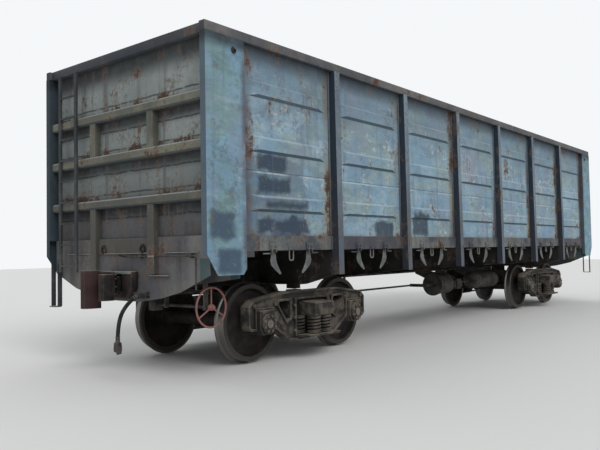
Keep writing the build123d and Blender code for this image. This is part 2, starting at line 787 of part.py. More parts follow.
# Brake rods: pull rods from the cylinder's levers towards the bogies, carried under two cross beams
with BuildPart() as brake_rods:
    rod_y = -345
    rod_radius = 16
    lever_x = 430
    lever_half = 28
    lever_t = 20
    lever_tip = rod_y + 40
    carrier = 25
    strap_t = 12
    strap_y = rod_y - rod_radius - 2
    lever = ((lever_tip, h_gear - lever_half), (gear_y, h_gear - lever_half), (gear_y, h_gear + lever_half),
             (lever_tip, h_gear + lever_half))
    for x in (-lever_x, lever_x):
        plate(lever, end_view(x), lever_t)
    for sign in (-1, 1):
        rod((sign * (lever_x + lever_t / 2), rod_y, h_gear), (sign * (bogie_x - 700), rod_y, h_gear),
            rod_radius)
        along = (sign * 1.5 * bay_pitch - carrier, sign * 1.5 * bay_pitch + carrier)
        block(along, (strap_y - strap_t, strap_y), (h_gear - 40, beam_under(-strap_y)))
        block(along, (strap_y, lever_tip), (h_gear - 40, h_gear - rod_radius))
finish(brake_rods, "brake_rods")

# Brake pipe: along one side of the centre sill, across under it at end a, with a cock at each end
with BuildPart() as brake_pipe:
    pipe_end = end_face + 60
    cross_x = -end_in + 900
    branch = pipe_y - pipe_radius - seat_gap
    stub = 40
    clamp = 30
    rod((cross_x - stub, pipe_y, h_pipe), (pipe_end, pipe_y, h_pipe), pipe_radius)
    rod((cross_x, -branch, h_pipe), (cross_x, branch, h_pipe), pipe_radius)
    rod((-pipe_end, -pipe_y, h_pipe), (cross_x + stub, -pipe_y, h_pipe), pipe_radius)
    mouth_x, mouth_h = pipe_end + cock_length, h_pipe
    first_run = Vector(*hose_route[1]).normalized()
    lean = (-first_run.Y, first_run.X)
    cock = ((pipe_end, h_pipe - cock_half), (pipe_end, h_pipe + cock_half),
            (mouth_x, h_pipe + cock_half), (mouth_x + cock_half * lean[0], mouth_h + cock_half * lean[1]),
            (mouth_x - cock_half * lean[0], mouth_h - cock_half * lean[1]))
    for _, sign in ENDS:
        plate([(sign * x, h) for x, h in cock], side_view(0, sign * pipe_y), 2 * cock_half)
    for x in (post_places[1], post_places[-2]):
        block((x - clamp, x + clamp), (pipe_y - clamp, pipe_y), (h_pipe, beam_under(pipe_y - clamp)))
finish(brake_pipe, "brake_pipe")

# Brake hoses: free hoses that hang from the cocks, each with its coupling head
for end_name, sign in ENDS:
    corners = [Vector(sign * (mouth_x + x), sign * pipe_y, up(mouth_h + h)) for x, h in hose_route]
    runs = [after - before for before, after in zip(corners, corners[1:])]
    bends = []
    for before, after in zip(runs, runs[1:]):
        half_turn = radians(before.get_angle(after)) / 2
        bends.append(bend_share * min(before.length, after.length) / tan(half_turn))
    with BuildPart() as brake_hose:
        with BuildLine() as route:
            FilletPolyline(*corners, radius=bends)
        with BuildSketch(Plane(origin=corners[0], z_dir=runs[0])):
            Circle(hose_radius)
        sweep()
    length = route.wires()[0].length
    print("hose", end_name, "length", round(length), "bend radii", [round(bend) for bend in bends])
    section = pi * hose_radius ** 2
    print("hose volume against section times length", round(brake_hose.part.volume / (section * length), 4))
    finish(brake_hose, f"brake_hose_{end_name}")

# columns: along the wagon and up, from the hose's end
coupling_body = ((-28, 0), (28, 0), (36, -70), (28, -104), (-28, -100), (-36, -64))
coupling_claw = ((-32, -68), (32, -72), (24, -128), (-24, -122))
claw_t = 24
for end_name, sign in ENDS:
    x, h = mouth_x + hose_route[-1][0], mouth_h + hose_route[-1][1]
    with BuildPart() as hose_coupling:
        plate([(sign * (x + out), h + rise) for out, rise in coupling_body], side_view(0, sign * pipe_y),
              2 * hose_radius + 12)
        plate([(sign * (x + out), h + rise) for out, rise in coupling_claw],
              side_view(0, sign * (pipe_y + hose_radius)), claw_t)
    finish(hose_coupling, f"hose_coupling_{end_name}")

# Handbrake: hand wheel beside end a, on a shaft under the end floor
with BuildPart() as handbrake:
    wheel_x, wheel_y, h_wheel = -6300, -1270, 760
    wheel_radius = 225
    rim_bar = 24
    spoke_bar = 20
    spoke_t = 16
    shaft_radius = 18
    bearing_t = 12
    bearing_half = 30
    gear_half = 70
    gear_sides = (-380, -280)
    with BuildSketch(side_view(wheel_x, wheel_y)) as rim:
        with Locations((0, h_wheel)):
            Circle(wheel_radius)
            Circle(wheel_radius - rim_bar, mode=Mode.SUBTRACT)
    extrude(rim.sketch, amount=rim_bar / 2, both=True)
    with BuildSketch(side_view(wheel_x, wheel_y)) as spokes:
        with Locations((0, h_wheel)):
            with PolarLocations((wheel_radius - rim_bar) / 2 + 4, 3, start_angle=90):
                Rectangle(wheel_radius - rim_bar + 4, spoke_bar)
    extrude(spokes.sketch, amount=spoke_t / 2, both=True)
    rod((wheel_x, wheel_y - 26, h_wheel), (wheel_x, gear_sides[0] + 20, h_wheel), shaft_radius)
    bearing = (wheel_x - bearing_half, wheel_x + bearing_half)
    for y in (-1180, -520):
        block(bearing, (y - bearing_t / 2, y + bearing_t / 2), (h_wheel - bearing_half, h_under_floor))
    block((wheel_x - gear_half, wheel_x + gear_half), gear_sides, (h_wheel - gear_half, h_wheel + gear_half))
    block(bearing, gear_sides, (h_wheel + gear_half, h_sill_bottom))
finish(handbrake, "handbrake")

# Hatch locks under the side sills: a pair of hooks and a pull ring in each bay
hook = ((296, 1361), (352, 1361), (358, 1300), (372, 1240), (354, 1188), (284, 1130),
        (206, 1080), (192, 1094), (230, 1152), (262, 1206), (280, 1262), (284, 1310))
loop = ((-42, 1361), (-42, 1258), (-24, 1234), (24, 1234), (42, 1258), (42, 1361), (30, 1361), (30, 1264),
        (18, 1248), (-18, 1248), (-30, 1264), (-30, 1361))
for side_name, side in SIDES:
    with BuildPart() as hatch_locks:
        hook_y = side * (inner_face + sill_face) / 2
        for bay_x in bay_middles:
            for sign in (-1, 1):
                plate([(bay_x + sign * x, h) for x, h in hook], side_view(0, hook_y), side_sill_t)
            plate([(bay_x + x, h) for x, h in loop], side_view(0, hook_y), side_sill_t)
    finish(hatch_locks, f"hatch_locks_{side_name}")

# Bogies, wheelsets and hatches
for end_name, sign in ENDS:
    centre = sign * bogie_x
    side_frames(f"side_frames_{end_name}", centre)
    bogie_springs(f"springs_{end_name}", centre)
    bogie_bolster(f"bogie_bolster_{end_name}", centre)
    axle_boxes(f"axle_boxes_{end_name}", centre)
    brake_beams(f"brake_beams_{end_name}", centre)
    wheelset(f"wheelset_{end_name}1", centre + sign * half_wheelbase)
    wheelset(f"wheelset_{end_name}2", centre - sign * half_wheelbase)

for side_name, side in SIDES:
    for number, bay_x in enumerate(bay_middles, start=1):
        hatch(f"hatch_{side_name}{number}", bay_x, side)
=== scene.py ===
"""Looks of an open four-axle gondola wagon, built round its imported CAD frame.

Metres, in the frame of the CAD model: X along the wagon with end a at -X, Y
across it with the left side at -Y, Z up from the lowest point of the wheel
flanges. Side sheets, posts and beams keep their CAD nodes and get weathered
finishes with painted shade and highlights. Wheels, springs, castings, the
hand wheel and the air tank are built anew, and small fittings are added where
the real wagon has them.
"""
import json
import logging
import math
from dataclasses import dataclass, field
from enum import Enum
from typing import ClassVar, Sequence

import bmesh
import bpy
from mathutils import Matrix, Vector


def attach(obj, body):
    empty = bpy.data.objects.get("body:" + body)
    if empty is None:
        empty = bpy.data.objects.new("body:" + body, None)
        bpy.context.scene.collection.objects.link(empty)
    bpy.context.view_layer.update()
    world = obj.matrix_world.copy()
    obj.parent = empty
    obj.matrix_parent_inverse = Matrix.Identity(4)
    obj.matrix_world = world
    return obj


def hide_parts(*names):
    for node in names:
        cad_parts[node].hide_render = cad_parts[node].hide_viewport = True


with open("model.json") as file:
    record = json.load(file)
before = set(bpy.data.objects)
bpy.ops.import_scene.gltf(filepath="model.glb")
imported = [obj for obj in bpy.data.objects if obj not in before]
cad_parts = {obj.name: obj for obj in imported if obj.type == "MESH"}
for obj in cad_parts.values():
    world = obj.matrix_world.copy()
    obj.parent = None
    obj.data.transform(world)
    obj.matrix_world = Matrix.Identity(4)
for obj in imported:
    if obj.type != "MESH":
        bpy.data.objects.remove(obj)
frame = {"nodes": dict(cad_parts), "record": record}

LOG = logging.getLogger("wagon")

Colour = tuple[float, float, float, float]
Point = tuple[float, float, float]
Span = tuple[float, float]

RAIL = 0.028
ALONG: Point = (1, 0, 0)
ACROSS: Point = (0, 1, 0)
UPRIGHT: Point = (0, 0, 1)


def up(height: float) -> float:
    """Z of a height above the rail head."""
    return RAIL + height


BAY_PITCH = 1.73
BAY_MIDDLES = [(bay - 3) * BAY_PITCH for bay in range(7)]
BOGIE_X = 2.5 * BAY_PITCH
AXLE_OFFSET = 0.925
AXLE_Z = up(0.4785)
CENTRE_SILL_Z = up(0.922)
SEAM = 2.265
SHEET_FACE = 1.4595
SILL_FACE = 1.475
END_FACE = 6.497
ENDS = (("a", -1), ("b", 1))
SIDES = (("l", -1), ("r", 1))


class Slot(Enum):
    """Material slots of the record that the new pieces take their finish from."""

    SIDE = "side_paint"
    RAIL_STEEL = "rail_steel"
    SILL = "sill_paint"
    FRAME = "frame_steel"
    COUPLER = "coupler_iron"
    BRAKE = "brake_steel"
    HANDBRAKE = "handbrake_paint"
    HOSE = "hose_rubber"
    LOCK = "lock_paint"
    WHEEL = "wheel_steel"
    SPRING = "spring_steel"
    BOGIE = "bogie_iron"


class Tone(str, Enum):
    """Colours that dirt, rust, wear and weather bring, and painted shade and highlight, as six-digit sRGB codes."""

    PALE_SMEAR = "aab9c0"
    LILAC_BLOOM = "85869a"
    SCRAPED = "cfd6d4"
    DUSTY_TIP = "8b8986"
    CORNER_BLUE = "41585c"
    PLUM_DIRT = "4b434a"
    BEIGE_DIRT = "877a66"
    LOWER_DARKENING = "3c383c"
    RAIL_SHADE = "232529"
    WET_LINE = "262325"
    UNDERSIDE_SHADE = "394854"
    UPSIDE_HIGHLIGHT = "b4bfc7"
    HOLLOW_SHADE_AND_DIRT = "2b2623"
    WORN_AND_HIGHLIT_EDGE = "9a9e9f"
    DARKER_BLUE_HIGH = "5a6874"
    PALE_LINE = "b9c6cc"
    STAIN = "756a60"
    DEEP_RUST = "382b29"
    DRY_RUST = "5f483c"
    BARE_STEEL = "44464a"
    CAST_RUST = "4a3430"
    CASTING_DARK_TOP = "343332"
    HOLLOW_SHADE_CASTING = "121110"
    WHEEL_DUST = "2f2a28"
    WHEEL_RUST = "4a362d"


def tone(code: str) -> Colour:
    """Linear colour of a six-digit sRGB code.

    Args:
        code: red, green and blue as two hexadecimal digits each.

    Returns:
        The colour as four numbers, opaque.
    """
    parts = [int(code[place:place + 2], 16) / 255 for place in (0, 2, 4)]
    linear = [part / 12.92 if part <= 0.04045 else ((part + 0.055) / 1.055) ** 2.4 for part in parts]
    return (linear[0], linear[1], linear[2], 1.0)


class Signal:
    """Output of a shader node, on which Python arithmetic adds Math nodes."""

    def __init__(self, shader: "Shader", socket: bpy.types.NodeSocket | None) -> None:
        """Wraps a socket of a shader's tree."""
        self.shader = shader
        self.socket = socket

    def math(self, operation: str, *others: "Signal | float") -> "Signal":
        """One Math node on this value.

        Args:
            operation: the node's operation.
            others: its further operands.

        Returns:
            The node's value.
        """
        return self.shader.node("ShaderNodeMath", {"operation": operation}, dict(enumerate((self, *others))))

    def __add__(self, other: "Signal | float") -> "Signal":
        """Sum."""
        return self.math("ADD", other)

    __radd__ = __add__

    def __sub__(self, other: "Signal | float") -> "Signal":
        """Difference."""
        return self.math("SUBTRACT", other)

    def __rsub__(self, other: float) -> "Signal":
        """Difference from a number."""
        return self.math("MULTIPLY", -1.0) + other

    def __mul__(self, other: "Signal | float") -> "Signal":
        """Product."""
        return self.math("MULTIPLY", other)

    __rmul__ = __mul__

    def __abs__(self) -> "Signal":
        """Size without sign."""
        return self.math("ABSOLUTE")

    def ramp(self, low: float, high: float) -> "Signal":
        """Smooth step from 0 at one value to 1 at another, which may be the smaller.

        Args:
            low: value that gives 0.
            high: value that gives 1.

        Returns:
            A mask from 0 to 1.
        """
        return self.shader.node("ShaderNodeMapRange", {"interpolation_type": "SMOOTHSTEP"},
                                {0: self, 1: low, 2: high, 3: 0.0, 4: 1.0})

    def to_repeat(self, at: float, pitch: float) -> "Signal":
        """Distance to the nearest of the places that repeat at a pitch."""
        return (self - at).math("PINGPONG", pitch / 2)


class Shader:
    """Node tree of a material or the world, with the few building blocks that the finishes share."""

    def __init__(self, block: bpy.types.Material | bpy.types.World) -> None:
        """Starts on the emptied tree of a new material or world.

        Args:
            block: the material or the world.
        """
        block.use_nodes = True
        self.block = block
        self.tree = block.node_tree
        self.tree.nodes.clear()

    def node(self, kind: str, settings: dict | None = None, inputs: dict | None = None,
             output: int | str = 0) -> Signal:
        """Adds a node.

        Args:
            kind: the node's type.
            settings: its properties, set first.
            inputs: values or signals by socket name or place.
            output: the socket that is returned.

        Returns:
            The node's chosen output, empty for the node that ends a tree.
        """
        made = self.tree.nodes.new(kind)
        for name, value in (settings or {}).items():
            setattr(made, name, value)
        for key, value in (inputs or {}).items():
            if isinstance(value, Signal):
                self.tree.links.new(value.socket, made.inputs[key])
            else:
                made.inputs[key].default_value = value
        return Signal(self, made.outputs[output] if made.outputs else None)

    def point(self, stretch: Point = (1.0, 1.0, 1.0)) -> Signal:
        """Object coordinates, stretched along each axis."""
        here = self.node("ShaderNodeTexCoord", output="Object")
        return self.node("ShaderNodeMapping", {}, {"Vector": here, "Scale": stretch})

    def axis(self, name: str) -> Signal:
        """One Object coordinate, X, Y or Z."""
        return self.node("ShaderNodeSeparateXYZ", {}, {0: self.point()}, name)

    def out(self, name: str, span: Span) -> Signal:
        """Smooth step between two distances from the wagon's middle along X or Y."""
        return abs(self.axis(name)).ramp(*span)

    def rise(self, low: float, high: float) -> Signal:
        """Smooth step between two heights above the rail head, of which the first gives 0."""
        return self.axis("Z").ramp(up(low), up(high))

    def facing(self, name: str) -> Signal:
        """One component of the surface's normal, X, Y or Z."""
        normal = self.node("ShaderNodeNewGeometry", output="Normal")
        return self.node("ShaderNodeSeparateXYZ", {}, {0: normal}, name)

    def noise(self, scale: float, detail: float = 4.0, roughness: float = 0.55,
              stretch: Point = (1.0, 1.0, 1.0)) -> Signal:
        """Noise over Object coordinates.

        Args:
            scale: cells per metre.
            detail: octaves.
            roughness: share of the fine octaves.
            stretch: factor on each coordinate, small where the pattern runs long.

        Returns:
            A value that mostly lies between 0.3 and 0.7.
        """
        inputs = {"Vector": self.point(stretch), "Scale": scale, "Detail": detail, "Roughness": roughness}
        return self.node("ShaderNodeTexNoise", {}, inputs)

    def hollows(self, reach: float, inside: bool = False) -> Signal:
        """Mask of the places that a near surface shades, or of outer edges when looked at from inside.

        Args:
            reach: how far a surface counts, in metres.
            inside: True for outer edges.

        Returns:
            0 on open ground, nearer to 1 in corners.
        """
        settings = {"samples": 4, "inside": inside}
        return 1 - self.node("ShaderNodeAmbientOcclusion", settings, {"Distance": reach}, "AO")

    def mix(self, mask: Signal, first: Signal | str, second: Signal | str) -> Signal:
        """Blend of two colours.

        Args:
            mask: share of the second colour.
            first: colour where the mask is 0, or its code.
            second: colour where the mask is 1, or its code.

        Returns:
            The blended colour.
        """
        ends = [tone(colour) if isinstance(colour, str) else colour for colour in (first, second)]
        return self.node("ShaderNodeMix", {"data_type": "RGBA"}, {0: mask, 6: ends[0], 7: ends[1]}, 2)

    def finish(self, colour: Signal | Colour, roughness: Signal | float, metallic: Signal | float = 0.0,
               height: Signal | None = None, depth: float = 0.002, gloss: float = 0.2) -> bpy.types.Material:
        """Closes a material's tree with a surface.

        Args:
            colour: base colour.
            roughness: roughness.
            metallic: metallic share.
            height: relief from 0 to 1, or None.
            depth: metres that a relief of 1 stands for.
            gloss: strength of the mirror-like part, 0.5 for clean paint and less under dust.

        Returns:
            The material.
        """
        sockets = {"Base Color": colour, "Roughness": roughness, "Metallic": metallic, "Specular IOR Level": gloss}
        if height is not None:
            relief = {"Strength": 1.0, "Distance": depth, "Height": height}
            sockets["Normal"] = self.node("ShaderNodeBump", {}, relief)
        surface = self.node("ShaderNodeBsdfPrincipled", {}, sockets)
        self.node("ShaderNodeOutputMaterial", {}, {"Surface": surface})
        return self.block


@dataclass
class Coat:
    """A colour in the making, over which further colours are laid."""

    shader: Shader
    colour: Signal

    def lay(self, mask: Signal, colour: Signal | str) -> None:
        """Lays a colour, or the colour of a code, where the mask is 1."""
        self.colour = self.shader.mix(mask, self.colour, colour)


@dataclass(frozen=True)
class Grain:
    """Noises that the layers of old paint share, from metre-wide clouds down to upright runs."""

    broad: Signal
    cloudy: Signal
    fine: Signal
    run: Signal


@dataclass(frozen=True)
class Patch:
    """A darker repainted field on the left side, by its middle and size along X and Z."""

    x: float
    z: float
    width: float
    height: float
    ragged: float = 0.03
    strength: float = 0.9

    LEFT_SIDE: ClassVar[Span] = (-1.3, -1.4)

    def mask(self, shader: Shader) -> Signal:
        """Mask of the field, with brushed edges.

        Args:
            shader: the tree.

        Returns:
            1 within the field on the left side, 0 outside.
        """
        wobble = (shader.noise(4.0, 4.0, 0.6) - 0.5) * (6 * self.ragged)
        along = abs(shader.axis("X") + wobble - self.x).ramp(self.width / 2 + 0.04, self.width / 2 - 0.045)
        tall = abs(shader.axis("Z") + wobble - self.z).ramp(self.height / 2 + 0.035, self.height / 2 - 0.04)
        return along * tall * shader.axis("Y").ramp(*self.LEFT_SIDE)


@dataclass(frozen=True)
class OldPaint:
    """Old paint on steel plate: fading, runs, rust, scuffs and dirt, with painted shade in hollows, under rails and
    belts and on faces that look down or along the wagon, and painted highlight on faces that look up and, together
    with wear, on edges.
    """

    paint: str
    faded: str
    deep: str
    rust: float = 0.3
    runs: float = 0.4
    hollow_shade_and_dirt: float = 0.5
    scuffs: float = 0.0
    dents: float = 0.0
    roughness: float = 0.62
    turned: float = 0.0
    post_rust: bool = False
    under: float = 0.0
    sink: float = 0.0
    shaded: tuple[Span, ...] = ()
    beads: tuple[float, ...] = ()
    wet_lines: tuple[float, ...] = ()
    inward: str = ""
    far_side: str = ""
    edges: float = 0.0
    gutter: Span = (0.0, 0.0)
    trodden: str = ""
    tips: bool = False
    bare_steel: float = 0.0
    bare_inside: str = ""
    bare_limit: float = 0.0
    patches: tuple[Patch, ...] = ()
    patch_tone: str = "3f4f60"
    bloom: str = ""

    # places along or across the wagon, between which a tone comes in
    FAR_SIDE: ClassVar[Span] = (0.9, 1.2)
    BEAM_TIP: ClassVar[Span] = (1.08, 1.2)
    BEAM_CORNER: ClassVar[Span] = (1.315, 1.33)
    LAST_PLATE: ClassVar[Span] = (5.75, 5.9)

    # distances from the nearest post, between which its dirt comes in
    BESIDE_POST: ClassVar[Span] = (0.3, 0.1)

    # heights above the rail head, between which a tone comes in
    CORNER_FOOT: ClassVar[Span] = (1.3, 1.28)
    SUNK: ClassVar[Span] = (2.6, 1.5)
    SHEET_FOOT: ClassVar[Span] = (1.64, 1.53)
    HIGH_SHEET: ClassVar[Span] = (2.7, 3.35)
    RUSTY_TOP: ClassVar[Span] = (3.3, 3.62)

    # how far a face's normal points along the wagon, between which it counts as turned
    TURNED: ClassVar[Span] = (0.6, 0.9)

    def material(self, name: str) -> bpy.types.Material:
        """Builds the material.

        Args:
            name: the material's name.

        Returns:
            The finished material.
        """
        shader = Shader(bpy.data.materials.new(name))
        grain = Grain(shader.noise(0.7, 3.0), shader.noise(3.1, 6.0, 0.62), shader.noise(21.0, 5.0, 0.7),
                      shader.noise(1.0, 5.0, 0.6, (9.0, 9.0, 0.45)))
        broad, cloudy, fine = grain.broad, grain.cloudy, grain.fine
        coat = Coat(shader, shader.mix((broad * 0.5 + cloudy * 0.5).ramp(0.42, 0.58), self.paint, self.faded))
        coat.lay((cloudy * 0.55 + fine * 0.45).ramp(0.48, 0.62) * 0.6, self.deep)
        self._brushwork(coat, grain)
        self._facing_shade_and_dirt(coat, grain)
        self._bands(coat, grain)
        coat.lay(grain.run.ramp(0.52, 0.72) * self.runs, self.deep)
        bare = self._rust(coat, grain)
        # painted shade and dirt in the hollows that a near surface shades
        coat.lay(shader.hollows(0.16).ramp(0.25, 0.9) * self.hollow_shade_and_dirt, Tone.HOLLOW_SHADE_AND_DIRT)
        # worn edges, lightened also as painted highlight
        if self.edges:
            worn = shader.hollows(0.007, True).ramp(0.2, 0.6) * cloudy.ramp(0.35, 0.6)
            coat.lay(worn * self.edges, Tone.WORN_AND_HIGHLIT_EDGE)
        relief = fine * 0.12 + cloudy * 0.2 + (1 - bare) * 0.06 + broad * (self.dents * 6)
        return shader.finish(coat.colour, bare * 0.25 + self.roughness + fine * 0.1, 0.0, relief, 0.006)

    def _brushwork(self, coat: Coat, grain: Grain) -> None:
        """Lays bloom, scuffs and repainted fields.

        Args:
            coat: the colour so far.
            grain: the shared noises.
        """
        shader = coat.shader
        if self.bloom:
            green = shader.noise(1.3, 5.0, 0.66, (1.0, 1.0, 1.7))
            coat.lay(green.ramp(0.45, 0.6) * 0.65, self.bloom)
            smear = shader.noise(2.6, 6.0, 0.7, (1.0, 1.0, 2.4))
            coat.lay(smear.ramp(0.5, 0.6) * 0.3, self.deep)
            coat.lay(smear.ramp(0.46, 0.36) * 0.3, Tone.PALE_SMEAR)
            lilac = shader.noise(0.9, 5.0, 0.62, (1.3, 1.0, 0.8))
            coat.lay(lilac.ramp(0.5, 0.66) * 0.45, Tone.LILAC_BLOOM)
        if self.scuffs:
            scrape = shader.noise(1.0, 6.0, 0.75, (7.0, 7.0, 13.0)) * 0.6 + grain.cloudy * 0.4
            coat.lay(scrape.ramp(0.55, 0.62) * self.scuffs, Tone.SCRAPED)
        for patch in self.patches:
            covered = patch.mask(shader) * (1 - grain.fine.ramp(0.56, 0.72) * 0.6)
            coat.lay(covered * patch.strength, self.patch_tone)

    def _facing_shade_and_dirt(self, coat: Coat, grain: Grain) -> None:
        """Lays painted shade on faces that look along the wagon or in towards its middle, a darker tone on the far
        side's faces that look along it, and trodden dirt on faces that look up.

        Args:
            coat: the colour so far.
            grain: the shared noises.
        """
        shader = coat.shader
        # painted shade: faces that look along the wagon take the deep tone
        if self.turned:
            coat.lay(abs(shader.facing("X")).ramp(*self.TURNED) * self.turned, self.deep)
        # faces on the far side that look along the wagon take a darker tone
        if self.far_side:
            far = abs(shader.facing("X")).ramp(*self.TURNED) * shader.axis("Y").ramp(*self.FAR_SIDE)
            coat.lay(far * 0.85, self.far_side)
        # painted shade: faces that look in towards the wagon's middle across it
        if self.inward:
            away = (shader.facing("Y") * shader.axis("Y")).ramp(-0.4, -1.2)
            coat.lay(away * 0.9, self.inward)
        if self.trodden:
            coat.lay(shader.facing("Z").ramp(0.5, 0.9) * (grain.cloudy * 0.3 + 0.75), self.trodden)

    def _bands(self, coat: Coat, grain: Grain) -> None:
        """Lays the tones that belong to a place or a height: dust and blue at the beam tips, stains by the corner
        post, darkening towards the bottom, painted shade under the top rail and the belts, wet lines, and painted
        shade on faces that look down with painted highlight on faces that look up.

        Args:
            coat: the colour so far.
            grain: the shared noises.
        """
        shader = coat.shader
        if self.tips:
            coat.lay(shader.out("Y", self.BEAM_TIP) * (grain.run * 0.6 + 0.1), Tone.DUSTY_TIP)
            corner = shader.out("Y", self.BEAM_CORNER) * shader.rise(*self.CORNER_FOOT)
            coat.lay(corner * 0.85, Tone.CORNER_BLUE)
        if self.gutter[1]:
            reach = abs(shader.axis("X")) + (grain.fine - 0.5) * 0.05
            patchy = shader.noise(1.6, 4.0, 0.6, (1.0, 1.0, 0.6)).ramp(0.36, 0.58)
            coat.lay(reach.ramp(self.gutter[1], self.gutter[0]) * patchy * 0.7, Tone.PLUM_DIRT)
        # darker towards the bottom
        if self.sink:
            coat.lay(shader.rise(*self.SUNK) * self.sink * (grain.cloudy + 0.4), Tone.LOWER_DARKENING)
        # painted shade under the top rail and under each belt
        for edge, depth in self.shaded:
            band = shader.rise(edge - depth, edge - depth * 0.3) * shader.rise(edge + 0.012, edge)
            coat.lay(band * (grain.cloudy * 0.9 + 0.4), Tone.RAIL_SHADE)
        for level in self.wet_lines:
            wavy = shader.axis("Z") + (grain.cloudy - 0.5) * 0.06 - up(level)
            coat.lay(abs(wavy).ramp(0.016, 0.004) * grain.run.ramp(0.3, 0.5) * 0.8, Tone.WET_LINE)
        # painted shade on faces that look down, painted highlight on faces that look up
        if self.under:
            coat.lay(shader.facing("Z").ramp(-0.2, -0.6) * self.under, Tone.UNDERSIDE_SHADE)
            coat.lay(shader.facing("Z").ramp(0.2, 0.6) * (self.under * 0.5), Tone.UPSIDE_HIGHLIGHT)

    def _rust(self, coat: Coat, grain: Grain) -> Signal:
        """Lays stains, rust and bare steel.

        Args:
            coat: the colour so far.
            grain: the shared noises.

        Returns:
            The mask of bare rust.
        """
        shader = coat.shader
        rusting = grain.cloudy * 0.5 + grain.fine * 0.25 + grain.run * 0.25 + (self.rust - 0.3) * 0.16
        if self.post_rust:
            rusting = rusting + self._beside_posts(coat, grain)
        for bead in self.beads:
            rusting = rusting + shader.rise(bead - 0.02, bead) * shader.rise(bead + 0.13, bead + 0.01) * 0.075
        if self.bare_inside:
            across = shader.axis(self.bare_inside)
            within = abs(across).ramp(self.bare_limit, self.bare_limit - 0.0015)
            inner = within + (shader.facing(self.bare_inside) * across).ramp(-0.3, -0.6)
            rusting = rusting + inner.ramp(0.0, 1.0) * 0.3
        bare = rusting.ramp(0.575, 0.61)
        coat.lay(rusting.ramp(0.52, 0.6) * 0.5, Tone.STAIN)
        coat.lay(bare * 0.9, shader.mix(grain.fine.ramp(0.35, 0.65), Tone.DEEP_RUST, Tone.DRY_RUST))
        if self.bare_steel:
            coat.lay(shader.out("X", (self.bare_steel + 0.0004, self.bare_steel - 0.0004)), Tone.BARE_STEEL)
        return bare

    def _beside_posts(self, coat: Coat, grain: Grain) -> Signal:
        """Lays the dirt beside each post and at the foot, the darker top of the sheets and the pale line under the
        seam.

        Args:
            coat: the colour so far.
            grain: the shared noises.

        Returns:
            How much more the sheet rusts there.
        """
        shader = coat.shader
        from_post = shader.axis("X").to_repeat(BAY_PITCH / 2, BAY_PITCH)
        leak = shader.noise(1.1, 3.0, 0.6, (1.0, 1.0, 0.5)).ramp(0.4, 0.58)
        strip = from_post.ramp(*self.BESIDE_POST) * (leak * 0.8 + 0.42) + shader.rise(*self.SHEET_FOOT) * 0.5
        dark = shader.noise(0.8, 3.0, 0.6, (1.0, 1.0, 0.7)).ramp(0.42, 0.6) + shader.out("X", self.LAST_PLATE)
        tint = shader.mix(dark.ramp(0.0, 1.0), Tone.BEIGE_DIRT, Tone.PLUM_DIRT)
        coat.lay((strip * (grain.cloudy + 0.25)).ramp(0.1, 0.9) * 0.8, tint)
        # darker towards the top of the sheets
        coat.lay(shader.rise(*self.HIGH_SHEET) * (grain.cloudy * 0.8 + 0.05), Tone.DARKER_BLUE_HIGH)
        from_seam = abs(shader.axis("Z") - up(SEAM - 0.016))
        coat.lay(from_seam.ramp(0.014, 0.007) * shader.noise(2.0, 3.0).ramp(0.4, 0.6) * 0.6, Tone.PALE_LINE)
        return strip * 0.07 + shader.rise(*self.RUSTY_TOP) * 0.035


@dataclass(frozen=True)
class Casting:
    """Dark cast or forged iron with dust on its upper faces, lighter edges and painted shade in its hollows."""

    iron: str
    dust: str
    edge: str
    rust: float = 0.3
    dusty: float = 0.5
    roughness: float = 0.7
    worn: float = 0.5
    lying: str = ""
    flushed: str = ""
    dark_above: float = 0.0

    # distances from the wagon's middle: the outside of a side, and the coupler's head along X
    OUTSIDE: ClassVar[Span] = (1.3, 1.4)
    HEAD: ClassVar[Span] = (6.7, 6.82)
    # product of X and Y, below which a place of the head lies on its toothed side
    TOOTH: ClassVar[Span] = (0.95, 0.7)

    def material(self, name: str) -> bpy.types.Material:
        """Builds the material.

        Args:
            name: the material's name.

        Returns:
            The finished material.
        """
        shader = Shader(bpy.data.materials.new(name))
        cloudy = shader.noise(6.0, 5.0, 0.62)
        fine = shader.noise(70.0, 4.0, 0.65)
        coat = Coat(shader, shader.mix(cloudy.ramp(0.42, 0.6), self.iron, self.dust))
        coat.lay((cloudy * 0.6 + fine * 0.4 + (self.rust - 0.5) * 0.2).ramp(0.5, 0.6) * 0.7, Tone.CAST_RUST)
        # darker above a height on the outside of a side
        if self.dark_above:
            high = shader.axis("Z").ramp(self.dark_above - 0.06, self.dark_above + 0.05)
            coat.lay(high * shader.out("Y", self.OUTSIDE) * 0.8, Tone.CASTING_DARK_TOP)
        if self.flushed:
            tooth = (shader.axis("X") * shader.axis("Y")).ramp(*self.TOOTH) * shader.out("X", self.HEAD)
            coat.lay(tooth * fine.ramp(0.3, 0.6) * 0.9, self.flushed)
        lying = shader.facing("Z").ramp(0.2, 0.9) * self.dusty * cloudy.ramp(0.2, 0.55)
        coat.lay(lying, self.lying or self.dust)
        edges = shader.hollows(0.014, True).ramp(0.12, 0.55) * fine.ramp(0.3, 0.55)
        coat.lay(edges * self.worn, self.edge)
        # painted shade in the hollows that a near surface shades
        coat.lay(shader.hollows(0.12).ramp(0.3, 0.9) * 0.75, Tone.HOLLOW_SHADE_CASTING)
        relief = fine * 0.5 + cloudy * 0.5
        return shader.finish(coat.colour, fine * 0.2 + (self.roughness - 0.1), 0.0, relief, 0.0022)


